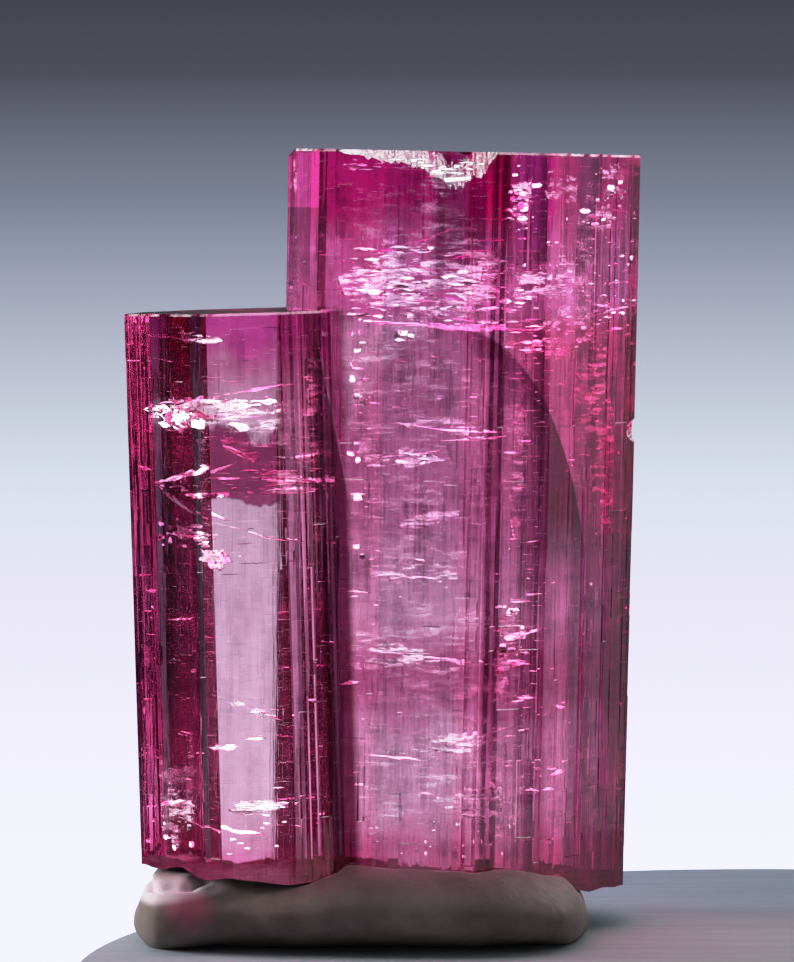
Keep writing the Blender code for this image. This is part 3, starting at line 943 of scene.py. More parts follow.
def new_material(name, **values):
    """A material, its tree and its shader, with plain values set by the sockets' names."""
    material = bpy.data.materials.new(name)
    material.use_nodes = True
    tree = material.node_tree
    shader = tree.nodes["Principled BSDF"]
    for label, value in values.items():
        feed(shader.inputs[label.replace("_", " ")], value)
    return material, tree, shader


def add_bump(shader, height):
    """The height is in mm."""
    bump = add_node(shader.id_data, "ShaderNodeBump")
    for label, value in (("Strength", 1.0), ("Distance", MM), ("Height", height)):
        feed(bump.inputs[label], value)
    feed(shader.inputs["Normal"], bump.outputs[0])


def open_group(name, inputs, outputs):
    """A new shader group with its sockets: {name: (kind, default)} in, {name: kind} out."""
    tree = bpy.data.node_groups.new(name, "ShaderNodeTree")
    for label, (kind, value) in inputs.items():
        socket = tree.interface.new_socket(label, in_out="INPUT", socket_type=f"NodeSocket{kind}")
        socket.default_value = value
    for label, kind in outputs.items():
        tree.interface.new_socket(label, in_out="OUTPUT", socket_type=f"NodeSocket{kind}")
    return tree, add_node(tree, "NodeGroupInput").outputs, add_node(tree, "NodeGroupOutput").inputs


def place_group(tree, group, **values):
    node = add_node(tree, "ShaderNodeGroup", node_tree=group)
    for label, value in values.items():
        feed(node.inputs[label.replace("_", " ")], value)
    return node.outputs


# ---------------------------------------------------------------- growth texture, for crystals and cracks
MM_IN_A_METRE = 1000.0
SIDEWAYS_OVER = 0.9  # how far a normal points to a side, upright or up, from 0 to 1
UPRIGHT_UNDER = 0.5
FLAT_OVER = 0.96
LINE_ROUGHNESS = 0.6
# Lines drawn out upwards: (density across, density up, seed, detail)
FINE_LINES = (6.0, 0.16, 3.0, 3.0)
BROAD_LINES = (1.5, 0.08, 9.0, 2.0)
LEVEL_LINES = (0.35, 1.4, 31.0, 4.0)
CELLS = ((0.9, 3.2, 1.0), (0.37, 1.1, 5.0))  # width and height in mm, seed
CELL_EDGE = (0.7, 0.3)  # densities of the waves in the cells' upright edges
CELL_EDGE_SEED = 20
CELL_EDGE_WAVE = 0.6  # in widths
CELL_SHIFT = 7.0  # heights by which a column can lie higher than the next
MEAN_STEP = 0.33


def face_place(tree):
    """Where a point lies, in mm: across the face, x, y, z. Then 1 where it stands upright or lies flat.

    Across is x, or y on a face that looks to a side.
    """
    in_mm = built("ShaderNodeVectorMath", (place_in(tree),), operation="SCALE")
    in_mm.inputs["Scale"].default_value = MM_IN_A_METRE
    x, y, z = split(in_mm.outputs[0])
    normal = split(add_node(tree, "ShaderNodeNewGeometry").outputs["True Normal"])
    side = maths("GREATER_THAN", maths("ABSOLUTE", normal[0]), SIDEWAYS_OVER)
    across = plus(times(y, side), times(x, minus(1.0, side)))
    upright = maths("LESS_THAN", maths("ABSOLUTE", normal[2]), UPRIGHT_UNDER)
    flat = maths("GREATER_THAN", maths("ABSOLUTE", normal[2]), FLAT_OVER)
    return across, x, y, z, upright, flat


def growth_group():
    """Fine upright lines and small blocks, as a height in mm and as a light and dark tone round 1."""
    inputs = {"Across": 0.0, "Up": 0.0, "Line Height": 0.02, "Block Height": 0.02}
    inputs.update({"Line Tone": 0.3, "Block Tone": 0.2})
    inputs = {label: ("Float", value) for label, value in inputs.items()}
    tree, given, result = open_group("Growth Lines", inputs, {"Height": "Float", "Tone": "Float"})
    across, up = given["Across"], given["Up"]

    def lines(density, run, seed, detail):
        place = combine(times(across, density), times(up, run), seed)
        return minus(noise_value(place, 1.0, detail, LINE_ROUGHNESS), 0.5)

    fine, broad, level = lines(*FINE_LINES), lines(*BROAD_LINES), lines(*LEVEL_LINES)
    height = times(fine, given["Line Height"])
    tone = times(plus(fine, plus(broad, level)), given["Line Tone"])
    for width, tall, seed in CELLS:
        waver = times(lines(*CELL_EDGE, seed + CELL_EDGE_SEED, 1.0), CELL_EDGE_WAVE)
        column = plus(maths("DIVIDE", across, width), waver)
        row = plus(maths("DIVIDE", up, tall), times(random_cell(column, 0.0, seed), CELL_SHIFT))
        step = square(random_cell(column, row, seed + 1))
        height = plus(height, times(step, given["Block Height"]))
        tone = plus(tone, times(minus(MEAN_STEP, step), given["Block Tone"]))
    feed(result["Height"], height)
    feed(result["Tone"], plus(tone, 1.0))
    return tree


# ---------------------------------------------------------------- colour zones and painted shade
# A mask is the product of its parts. A part is another mask, "not" it, or a limit: (measure, edge in
# mm, width in mm over which it comes in), with a width below 0 for what lies under the edge. x and y
# are as if the tall or short crystal stood upright, height is z with a cloudy edge, and bends grows
# away from the middle of the arch.
MASKS = (
    ("short", ("short x", -1.5, -0.6), ("z", 38.1, -0.2)),
    ("tall", "not short"),
    ("far tall", ("y", 3.9, 0.2), "upright"),
    ("near tall", ("y", 4.1, -0.2)),
    ("far short", ("y", -2.1, 0.2), "upright"),
    ("arch", ("bends", 0.98, 0.03)),
    ("core", "not arch"),
    ("upper", ("height", 19, 7)),
    ("column", ("tall x", 5.85, 0.08), ("tall x", 6.75, -0.08), ("z", 44, -0.3)),
    ("under", ("bends", 0.6, 0.37), ("z", 29, 4), ("tall x", 3.8, 2)),
    ("right", ("tall x", 8.8, 0.8), ("z", 24, 3), ("z", 37, -1.5)),
    ("behind", ("tall x", 4.2, 0.6), ("tall x", 7.4, -0.6)),  # seen through the narrow face
    ("aside", "not behind"),
    ("tip", "tall", ("height", 41, 3)),
    ("narrow", "tall", "near tall", ("tall x", -4.1, -0.1)),
    ("dull", "not clear"),
    ("middle", ("height", 13, 4), ("height", 30.5, -1.5)),
    ("band", ("ragged z", 26.7, 0.2), ("height", 31, -1), ("y", 4, -5)),
    ("strip", ("slant", -3.6, 0.15), ("z", 26.6, 0.8)),
    ("rest", "not strip"),
    ("window", "short", ("short x", -10.6, 0.4), ("short x", -5.6, -0.4)),
)
# Zones from first to last, as (tint, parts). The tips colour the far faces alone, so that marks close
# to the front stay white.
ZONES = (
    ((0.66, 0.36, 0.50), "tall", ("height", 12.5, 2), ("height", 19, -2)),
    ((0.38, 0.32, 0.36), "tall", ("height", 39, 2), ("tall x", 2.6, 0.3), ("tall x", 7.4, -0.3)),
    # Painted shade: the zones with core make the tall crystal duller and darker under the arch, for the
    # dark arch-shaped image seen inside it
    ((0.64, 0.48, 0.56), "tall", ("tall x", 5.6, 0.3), ("tall x", 10, -0.3), "core"),
    ((0.84, 0.54, 0.70), "tall", "upper", "core"),
    ((0.64, 0.92, 0.84), "tall", "near tall", ("tall x", -0.3, 0.1), ("tall x", 4.6, -0.3)),
    ((0.42, 0.23, 0.36), "tall", "near tall", ("height", 41.5, 2), ("tall x", 3.2, -2), "right of edge"),
    ((0.50, 0.28, 0.40), "tall", ("tall x", 5.8, 0.3), ("tall x", 7.1, -0.3)),
    ((0.52, 0.42, 0.48), "tall", "near tall", "column", "blocks"),
    ((0.52, 0.19, 0.34), "tall", ("tall x", 9.3, 0.3), ("height", 28, -6)),
    ((0.50, 0.16, 0.30), "tall", "near tall", ("tall x", 13.2, 0.3), ("height", 34, -6)),
    ((0.060, 0.005, 0.018), "tall", "near tall", "upper", "core", ("tall x", 8.6, 1.4)),
    ((0.30, 0.13, 0.24), "tall", "near tall", "core", "under", ("tall x", 9.6, -1)),
    ((0.80, 0.54, 0.66), "tall", "near tall", "right"),
    ((1.0, 0.24, 0.46), "tall", "upper", "arch", ("tall x", 6, 2), ("z", 38.5, -2)),
    ((1.0, 0.70, 0.90), "tall", ("height", 35.5, 2.5)),
    ((1.0, 0.40, 0.76), "tall", "far tall", ("height", 35.5, 2.5)),
    ((1.0, 0.025, 0.38), "tip", "far tall", "aside"),
    ((1.0, 0.025, 0.38), "tip", "near tall", "behind"),
    ((1.0, 0.20, 1.0), "tip", "far tall", "behind"),
    ((1.0, 0.24, 0.76), "tip", "far tall", ("tall x", 8, 4)),
    ((0.22, 0.09, 0.19), "narrow", ("z", 44.15, -0.12), ("z", 41.3, 0.6)),
    ((0.19, 0.11, 0.17), "narrow", ("z", 41.9, -0.6)),
    ((0.50, 0.13, 0.28), "short", ("short x", -10.6, -0.4), "dull", ("height", 8.5, 4)),
    ((0.46, 0.62, 0.58), "short", ("short x", -10.6, -0.4), "middle"),
    ((0.20, 0.022, 0.075), "short", ("short x", -10.4, 0.4), ("short x", -5.6, -0.4), "band"),
    ((0.34, 0.045, 0.15), "short", "strip"),
    ((0.46, 0.14, 0.25), "short", ("short x", -5.9, 0.3), "rest"),
    ((0.085, 0.026, 0.055), "short", ("short x", -3.7, 0.3), "rest"),
    ((0.62, 0.022, 0.26), "short", "far short", ("height", 29.5, 7)),
)
TOP_ZONE = ((1.0, 0.30, 0.56), "flat", ("z", 37, 0.3))
FOOT_ZONE = (("height", 8.5, -4.5),)
TALL_FOOT_TINT = (0.70, 0.26, 0.40)
SHORT_FOOT_TINT = (1.0, 0.30, 0.62)
TALL_CLEAR = (0.92, 0.52, 0.74)
SHORT_CLEAR = (1.0, 0.74, 0.90)
ARCH_CENTRE = (4.0, 18.0)  # x and z in mm
ARCH_REACH = (8.5, 19.0)
CLEAR_CENTRE = (-12.0, 31.9)  # a spot without dull colour on the short crystal, x and z in mm
CLEAR_REACH = (2.3, 1.1)
CLOUD_REACH = 7.0  # mm, how far the clouds move the edges
SLANT = (37.0, 0.168)  # z in mm where the slanting strip is in place, x it moves for 1 mm of height
CLEAR_EDGE = (1.1, 0.7)
CLOUD = (0.35, 4.0, 0.6)  # scale, detail and roughness
CLOUD_STRETCH = 0.6
RAGGED_SHARE_OF_CLOUDS = 0.35
BLOCK_TALL = 2.7  # mm, of the dark blocks in the column
BLOCK_EDGE = (0.30, 0.55)
BLOCK_SEED = 77.0
RIGHT_OF_EDGE = (-4.2, -4.1, 0.5, 1.0)  # from and to in mm, and the shares there
MOTTLE = (1.5, 6.0, 0.7)  # scale, detail and roughness
MOTTLE_STRETCH = 0.45
MOTTLE_STRENGTH = (1.3, 0.5)  # outside and inside the window
STREAK_STRENGTH = (0.9, 0.4)
PATCHY_MEAN = 0.9
PATCHY_RANGE = (0.18, 1.05)


def leaning(x, z, prism):
    """x in mm, as it would be if the prism stood upright."""
    return minus(x, times(minus(z, prism.top / MM / 2), math.tan(prism.lean)))


def away(x, z, centre, reach):
    """How far out in an oval a place lies, squared: 1 on its edge."""
    shares = [maths("DIVIDE", minus(value, c), r) for value, c, r in zip((x, z), centre, reach)]
    return plus(*(square(share) for share in shares))


def tourmaline_zones_and_painted_shade(x, y, z, upright, flat, tone):
    """The colour zones of the pair, magenta tips and redder edges and foot, and painted shade: a dull,
    darker core under an arch.
    """
    cloud = noise_value(combine(x, y, times(z, CLOUD_STRETCH)), *CLOUD)
    jag = times(minus(cloud, 0.5), CLOUD_REACH)
    tall_x, short_x = leaning(x, z, TALL), leaning(x, z, SHORT)
    measures = {
        "y": y,
        "z": z,
        "height": plus(z, jag),
        "tall x": tall_x,
        "short x": short_x,
        "bends": away(tall_x, z, ARCH_CENTRE, ARCH_REACH),
        "ragged z": plus(z, times(jag, RAGGED_SHARE_OF_CLOUDS)),
        "slant": plus(short_x, times(minus(z, SLANT[0]), SLANT[1])),
    }
    masks = {
        "upright": upright,
        "flat": flat,
        "clear": fade(away(x, z, CLEAR_CENTRE, CLEAR_REACH), *CLEAR_EDGE),
        "blocks": fade(random_cell(0.0, maths("DIVIDE", z, BLOCK_TALL), BLOCK_SEED), *BLOCK_EDGE),
        "right of edge": fade(tall_x, *RIGHT_OF_EDGE),
    }

    def part(given):
        if isinstance(given, tuple):
            measure, edge, width = given
            return fade(measures[measure], edge, edge + width)
        return minus(1.0, masks[given[4:]]) if given.startswith("not ") else masks[given]

    for name, *parts in MASKS:
        masks[name] = times(*[part(p) for p in parts])
    colour = mix(masks["short"], TALL_CLEAR, SHORT_CLEAR)
    for tint, *parts in ZONES:
        colour = over(colour, tint, times(*[part(p) for p in parts]))
    colour = over(colour, mix(masks["short"], TALL_FOOT_TINT, SHORT_FOOT_TINT), part(*FOOT_ZONE))
    tint, *parts = TOP_ZONE
    colour = over(colour, tint, times(*[part(p) for p in parts]))
    mottle = noise_value(combine(x, y, times(z, MOTTLE_STRETCH)), *MOTTLE)
    patch = times(minus(mottle, 0.5), fade(masks["window"], 0.0, 1.0, *MOTTLE_STRENGTH))
    streak = times(minus(tone, 1.0), fade(masks["window"], 0.0, 1.0, *STREAK_STRENGTH))
    patchy = (plus(plus(streak, patch), PATCHY_MEAN), *PATCHY_RANGE)
    patchy = built("ShaderNodeClamp", patchy).outputs[0]
    return multiply(colour, combine(patchy, patchy, patchy))


# ---------------------------------------------------------------- materials of the crystals
WHITE_SILVER = (1.0, 0.96, 0.98)
DEPTH_COLOUR = (0.888, 0.087, 0.477, 1)
DEPTH_DENSITY = 30.0
QUIET_EDGE = (-10.7, -10.4)  # x in mm, left of which the fine lines are faint
QUIET_SHARE = 0.15
LINES_SHOWN = {"Line_Height": 0.009, "Block_Height": 0.010, "Line_Tone": 1.1, "Block_Tone": 0.40}
LINES_INSIDE = {"Line_Height": 0.002, "Block_Height": 0.002}
# Noise as (scale, detail, roughness)
FOOT_SMEAR = (900.0, 4.0, 0.6)
FOOT_TONES = ((0.35, (0.030, 0.004, 0.010)), (0.7, (0.10, 0.022, 0.040)))
FLECK_GRAIN = (2600.0, 2.0, 0.5)
FLECK_GRAIN_HEIGHT = 0.006  # mm
WISP_RATES = (560.0, 900.0, 2600.0)
WISPS = (1.0, 5.0, 0.65)
CRUMPLES = (1.7, 4.0, 0.6)
CRUMPLE_HEIGHT = 0.09  # mm
WISP_EDGE = (0.46, 0.60)
HAZE_EDGE = (0.44, 0.68)
WISP_COVER = 0.68  # where a wisp is whole
HAZE_COVER = 0.20


def crystal_material(growth):
    material, tree, shader = new_material(
        "tourmaline_skin", Roughness=0.0, Transmission_Weight=1.0, IOR=REFRACTION
    )
    across, x, y, z, upright, flat = face_place(tree)
    lines = place_group(tree, growth, Across=across, Up=z, **LINES_SHOWN)
    feed(shader.inputs["Base Color"], tourmaline_zones_and_painted_shade(x, y, z, upright, flat, lines["Tone"]))
    add_bump(shader, times(lines["Height"], fade(x, *QUIET_EDGE, QUIET_SHARE, 1.0)))
    depth = add_node(tree, "ShaderNodeVolumeAbsorption")
    depth.inputs["Color"].default_value = DEPTH_COLOUR
    depth.inputs["Density"].default_value = DEPTH_DENSITY
    feed(tree.nodes["Material Output"].inputs["Volume"], depth.outputs[0])
    return material


def fracture_material(growth):
    """The walls of the air-filled cracks."""
    material, tree, shader = new_material(
        "fracture_walls", Base_Color=(1.0, 0.93, 0.97), Roughness=0.04,
        Transmission_Weight=1.0, IOR=REFRACTION,
    )
    across, _, _, z, _, _ = face_place(tree)
    lines = place_group(tree, growth, Across=across, Up=z, **LINES_INSIDE)
    add_bump(shader, lines["Height"])
    return material


def foot_material():
    """The broken foot, dull where the putty clings to it."""
    material, tree, shader = new_material("putty_smeared_foot", Roughness=0.8)
    feed(shader.inputs["Base Color"], ramp(noise_value(place_in(tree), *FOOT_SMEAR), FOOT_TONES))
    return material


def fleck_material():
    """Plates that throw all light back, as a thin layer of air in a crystal does."""
    finish = {"Base_Color": WHITE_SILVER, "Metallic": 1.0, "Roughness": 0.10}
    material, tree, shader = new_material("bright_flecks", **finish)
    add_bump(shader, times(noise_value(place_in(tree), *FLECK_GRAIN), FLECK_GRAIN_HEIGHT))
    return material


def wisps_group():
    """Wisps that run across, as a mask from 0 to 1, and their crumpled height in mm."""
    tree, given, result = open_group(
        "Wisps",
        {
            "Place": ("Vector", (0.0, 0.0, 0.0)),
            "Low Edge": ("Float", WISP_EDGE[0]),
            "High Edge": ("Float", WISP_EDGE[1]),
        },
        {"Mask": "Float", "Height": "Float"},
    )
    place = vector_maths("MULTIPLY", given["Place"], WISP_RATES).outputs[0]
    feed(result["Mask"], fade(noise_value(place, *WISPS), given["Low Edge"], given["High Edge"]))
    feed(result["Height"], times(noise_value(place, *CRUMPLES), CRUMPLE_HEIGHT))
    return tree


def veil_material(wisps, name, edge, cover):
    """Crumpled gaps, torn into wisps."""
    material, tree, shader = new_material(name, Base_Color=WHITE_SILVER, Metallic=1.0, Roughness=0.18)
    parts = place_group(tree, wisps, Place=place_in(tree), Low_Edge=edge[0], High_Edge=edge[1])
    feed(shader.inputs["Alpha"], times(parts["Mask"], cover))
    add_bump(shader, parts["Height"])
    return material


# ---------------------------------------------------------------- putty
# The roll at stations along X, in mm: (x, front y, back y, top z)
ROLL_STATIONS = (
    (-15.0, -7.2, -0.8, 3.0),
    (-14.2, -8.8, 1.6, 3.9),
    (-12.2, -9.7, 3.8, 4.5),
    (-9.6, -9.5, 6.0, 4.5),
    (-6.0, -10.7, 8.0, 4.9),
    (-1.5, -11.1, 9.5, 5.6),
    (3.0, -11.1, 9.7, 5.5),
    (7.0, -10.6, 9.2, 5.1),
    (10.2, -9.2, 7.4, 4.1),
    (11.8, -7.6, 4.4, 3.0),
    (12.35, -6.4, 1.0, 2.5),
)
ROLL_STEPS = 18  # rings between two stations
ROLL_SIDES = 150
ROLL_WAIST = 0.45  # height of the widest line, as a share of the top
ROLL_SQUARE = 0.88
ROLL_SUNK = 0.45 * MM  # how far the round underside is pressed flat
ROLL_END = 1.7 * MM  # length of the rounding at each end
ROLL_END_SHRINK = 0.92
SOCKET_GROWTH = 0.15 * MM
SEAT_GAP = 0.12 * MM
TABLE_HALF = 30 * MM
LUMP_LENGTH = 6.0  # mm
LUMP_HEIGHT = 0.24  # mm
LUMP_SHIFT = Vector((3.1, 0.0, 0.0))
DENT_LENGTH = 2.2
DENT_HEIGHT = 0.09
GRIT_LENGTH = 0.9
GRIT_HEIGHT = 0.035
FOLD_START = (-14.6, 3.55)  # mm, x and z of the fold at the left end
FOLD_END = (-10.2, 4.0)
FOLD_WAVE = 0.12  # mm
FOLD_HALF = 0.16
FOLD_DEPTH = 0.50
FOLD_LIP = 0.12
FOLD_LIP_PLACE = 2.2  # above the fold, in half widths
FOLD_RUN_OUT = 4.0  # how suddenly the fold ends, as a share of its length


def station_between(index, share):
    """A smooth station between two neighbours, by a Catmull-Rom curve through the list."""
    last = len(ROLL_STATIONS) - 1
    near = (ROLL_STATIONS[min(max(index + k, 0), last)] for k in (-1, 0, 1, 2))
    return [
        b + 0.5 * share * (c - a + share * (2 * a - 5 * b + 4 * c - d + share * (3 * (b - c) + d - a)))
        for a, b, c, d in zip(*near)
    ]


def roll_ring(station):
    x, front, back, top = (value * MM for value in station)
    middle_y, half_y = (front + back) / 2, (back - front) / 2
    middle_z, up_z = top * ROLL_WAIST, top * (1 - ROLL_WAIST)
    down_z = middle_z + ROLL_SUNK
    end = min(x - ROLL_STATIONS[0][0] * MM, ROLL_STATIONS[-1][0] * MM - x) / ROLL_END
    shrink = math.sqrt(1 - ROLL_END_SHRINK * max(0.0, 1 - end) ** 2)
    half_y, up_z, down_z = half_y * shrink, up_z * shrink, down_z * shrink
    ring = []
    for side in range(ROLL_SIDES):
        turn = 2 * math.pi * side / ROLL_SIDES
        across, up = math.cos(turn), math.sin(turn)
        half_z = up_z if up > 0 else down_z
        y = middle_y + half_y * math.copysign(abs(across) ** ROLL_SQUARE, across)
        ring.append(Vector((x, y, middle_z + half_z * math.copysign(abs(up) ** ROLL_SQUARE, up))))
    return ring


def kneading(place):
    """How far the kneaded surface lies out from the plain roll, in mm."""
    lumps = LUMP_HEIGHT * noise.noise(place / LUMP_LENGTH + LUMP_SHIFT)
    lumps += DENT_HEIGHT * noise.noise(place / DENT_LENGTH) + GRIT_HEIGHT * noise.noise(place / GRIT_LENGTH)
    (low_x, low_z), (high_x, high_z) = FOLD_START, FOLD_END
    along = (place.x - low_x) / (high_x - low_x)
    fold_z = low_z + along * (high_z - low_z) + FOLD_WAVE * noise.noise(place * 0.9)
    in_fold = min(1.0, max(0.0, (1.0 - along) * FOLD_RUN_OUT)) * (1.0 if place.y < 0 else 0.0)
    gap = (place.z - fold_z) / FOLD_HALF
    lip = FOLD_LIP * math.exp(-((gap - FOLD_LIP_PLACE) ** 2) / 2)
    return lumps - in_fold * (FOLD_DEPTH * math.exp(-gap * gap) - lip)


def grown_prism(prism):
    """The plain outline of a prism, grown all round and leaning as it does."""
    grown = []
    for index, corner in enumerate(prism.corners):
        before = (corner - prism.corners[index - 1]).normalized()
        after = (prism.corners[(index + 1) % len(prism.corners)] - corner).normalized()
        outward = Vector((before.y + after.y, -before.x - after.x, 0.0)).normalized()
        grown.append(corner + outward * (SOCKET_GROWTH / outward.dot(Vector((before.y, -before.x, 0.0)))))
    slope = math.tan(prism.lean)
    ends = (CUTTER_FLOOR, prism.top)
    rings = [[p + Vector((slope * (z - prism.top / 2), 0.0, z)) for p in grown] for z in ends]
    return add_mesh("socket_tool", *loft(rings), hidden=True)


def make_putty():
    """The pressed roll, less the room of the crystals and what would lie below its resting face."""
    rings = []
    for index in range(len(ROLL_STATIONS) - 1):
        rings += [roll_ring(station_between(index, step / ROLL_STEPS)) for step in range(ROLL_STEPS)]
    rings.append(roll_ring(ROLL_STATIONS[-1]))
    putty = add_mesh("kneaded_putty", *loft(rings))
    points = putty.data.vertices
    moves = [vertex.normal * kneading(vertex.co / MM) * MM for vertex in points]
    for vertex, move in zip(points, moves):
        vertex.co += move
    socket = grown_prism(TALL)
    cut(socket, "UNION", grown_prism(SHORT))
    floor = broken_block()
    floor.location.z = -SEAT_GAP
    cut(socket, "DIFFERENCE", floor)
    cut(putty, "DIFFERENCE", socket)
    turns = ((-1, -1), (1, -1), (1, 1), (-1, 1))
    block = [[(x * TABLE_HALF, y * TABLE_HALF, z) for x, y in turns] for z in (CUTTER_FLOOR, 0.0)]
    cut(putty, "DIFFERENCE", add_mesh("table_tool", *loft(block), hidden=True))
    dress(putty, putty_material(), smooth=True)
    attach(putty, "root")
    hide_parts("putty_pad")


PAINTED_GLOW_PLACE = (-11.5 * MM, -9.4 * MM, 2.8 * MM)  # painted pink light: where the short crystal would throw its colour on the roll
PAINTED_GLOW_REACH = 2.1 * MM
PAINTED_GLOW_COLOUR = (0.44, 0.14, 0.20)
CREST_HIGHLIGHT_COLOUR = (0.80, 0.64, 0.70)  # painted highlight: the lit crest over the painted glow, which runs up to the right
CREST_PLACE = -12.0 * MM
CREST_SLOPE = 0.16
CREST_RIGHT_END = (-8.7 * MM, -10.2 * MM)
CREST_LOW_EDGE = (2.9 * MM, 3.4 * MM)
CREST_TOP_EDGE = (4.5 * MM, 4.0 * MM)
FINGER_MARKS = (("Scale", 320.0), ("Distortion", 2.5), ("Detail", 1.0), ("Detail Scale", 2.0))
FINGER_PLACE = (6.0 * MM, 0.0, -1.0 * MM)
MARK_HEIGHT = 0.012  # mm
MARK_EDGE = (0.50, 0.62)
GRAIN_HEIGHT = 0.030
# Noise as (scale, detail, roughness)
PUTTY_CLOUD = (260.0, 4.0, 0.6)
PUTTY_TONES = ((0.30, (0.110, 0.080, 0.072)), (0.70, (0.230, 0.188, 0.174)))
SPECKS = (1700.0, 3.0, 0.7)
SPECK_EDGE = (0.68, 0.80)
SPECK_COLOUR = (0.10, 0.08, 0.08)
PUTTY_GRAIN = (2600.0, 3.0, 0.6)
PUTTY_SHEEN = ((0.3, 0.45), (0.7, 0.65))  # roughness over the grain


def putty_material():
    """Handled grey putty: finger marks, dark specks and a faint sheen, with a painted pink glow and a
    painted highlight on the crest at the left end.
    """
    material, tree, shader = new_material("handled_putty", Specular_IOR_Level=0.12)
    place = place_in(tree)
    cloud = noise_value(place, *PUTTY_CLOUD)
    specks = fade(noise_value(place, *SPECKS), *SPECK_EDGE)
    tone = over(ramp(cloud, PUTTY_TONES), SPECK_COLOUR, specks)
    x, _, z = split(place)
    away_from_painted_glow = vector_maths("DISTANCE", place, PAINTED_GLOW_PLACE).outputs["Value"]
    # Painted light: the pink glow that the short crystal casts is mixed into the putty's colour
    tone = mix(fade(away_from_painted_glow, PAINTED_GLOW_REACH, 0.2 * PAINTED_GLOW_REACH), tone, PAINTED_GLOW_COLOUR)
    # Painted highlight: a pale band along the lit crest at the left end
    level = minus(z, times(plus(x, -CREST_PLACE), CREST_SLOPE))
    crest = times(fade(x, *CREST_RIGHT_END), fade(level, *CREST_LOW_EDGE), fade(level, *CREST_TOP_EDGE))
    feed(shader.inputs["Base Color"], mix(crest, tone, CREST_HIGHLIGHT_COLOUR))
    ridges = add_node(tree, "ShaderNodeTexWave", wave_type="RINGS", rings_direction="Y")
    feed(ridges.inputs["Vector"], vector_maths("ADD", place, FINGER_PLACE).outputs[0])
    for label, number in FINGER_MARKS:
        ridges.inputs[label].default_value = number
    marks = times(ridges.outputs["Fac"], fade(cloud, *MARK_EDGE))
    grain = noise_value(place, *PUTTY_GRAIN)
    add_bump(shader, plus(times(marks, MARK_HEIGHT), times(grain, GRAIN_HEIGHT)))
    feed(shader.inputs["Roughness"], ramp(grain, PUTTY_SHEEN))
    return material


# ---------------------------------------------------------------- stage
FLOOR_CENTRE = (24.7 * MM, -16.0 * MM)
FLOOR_RADIUS = 42.6 * MM
FLOOR_THICK = 3.0 * MM
FLOOR_SIDES = 160
FLOOR_RATES = (60.0, 900.0, 60.0)  # the grain runs from side to side
FLOOR_GRAIN = (1.0, 4.0, 0.6)
FLOOR_TONES = ((0.3, 0.88), (0.7, 1.06))
# Painted light and shade: the floor is lighter at the left and front and darker at the back, for how the
# light falls on it
FLOOR_LEFT_PAINTED_LIGHT = (0.54, 0.60, 0.68)
FLOOR_FRONT_PAINTED_LIGHT = (0.74, 0.86, 0.90)
FLOOR_BACK_PAINTED_SHADE = (0.36, 0.44, 0.56)
FLOOR_FRONT_TO_BACK = (-6.0 * MM, 14.0 * MM)
FLOOR_LEFT_TO_RIGHT = (-12.0 * MM, 12.0 * MM)


def make_floor():
    turns = [2 * math.pi * k / FLOOR_SIDES for k in range(FLOOR_SIDES)]
    x, y = FLOOR_CENTRE
    ring = [(x + FLOOR_RADIUS * math.cos(t), y + FLOOR_RADIUS * math.sin(t)) for t in turns]
    floor = add_mesh("floor", *loft([[(x, y, z) for x, y in ring] for z in (-FLOOR_THICK, 0.0)]))
    material, tree, shader = new_material("pale_floor", Roughness=0.9, Specular_IOR_Level=0.0)
    place = place_in(tree)
    grain = noise_value(vector_maths("MULTIPLY", place, FLOOR_RATES).outputs[0], *FLOOR_GRAIN)
    x, y, _ = split(place)
    # painted light and shade: from the lit front to the shaded back, and from the lit left to the right
    right = mix(fade(y, *FLOOR_FRONT_TO_BACK), FLOOR_FRONT_PAINTED_LIGHT, FLOOR_BACK_PAINTED_SHADE)
    shown = mix(fade(x, *FLOOR_LEFT_TO_RIGHT), FLOOR_LEFT_PAINTED_LIGHT, right)
    feed(shader.inputs["Base Color"], multiply(ramp(grain, FLOOR_TONES), shown))
    dress(floor, material)


SHOULDER = 0.5
BRIGHTEST = 10.0
EASED = (0.0, SHOULDER / 2, SHOULDER, 0.65, 0.8, 1.0, 1.25, 1.6, 2.0, 2.6, 3.5, 5.0, BRIGHTEST)
# The backdrop: (elevation in degrees, screen colour)
BACKDROP = (
    (-7.8, (245, 245, 253)),
    (-4.9, (234, 231, 246)),
    (-3.8, (221, 227, 239)),
    (-2.6, (196, 202, 216)),
    (-1.5, (165, 170, 190)),
    (-0.35, (125, 131, 151)),
    (1.1, (79, 79, 91)),
    (1.9, (70, 70, 82)),
)
# The light that the crystals see: (elevation in degrees, radiance)
LIT_BY_HEIGHT = (
    (-30, (0.80, 0.80, 0.85)),
    (-9, (0.98, 0.97, 1.05)),
    (-6, (0.92, 0.90, 1.02)),
    (-4, (0.72, 0.73, 0.84)),
    (-2.5, (0.65, 0.65, 0.74)),
    (0, (0.78, 0.78, 0.88)),
    (1.2, (0.54, 0.54, 0.62)),
    (3, (0.12, 0.12, 0.14)),
    (9, (0.16, 0.16, 0.18)),
    (14, (1.20, 1.20, 1.30)),
    (26, (8.50, 8.50, 8.80)),
    (70, (8.50, 8.50, 8.80)),
    (90, (5.00, 5.00, 5.20)),
)
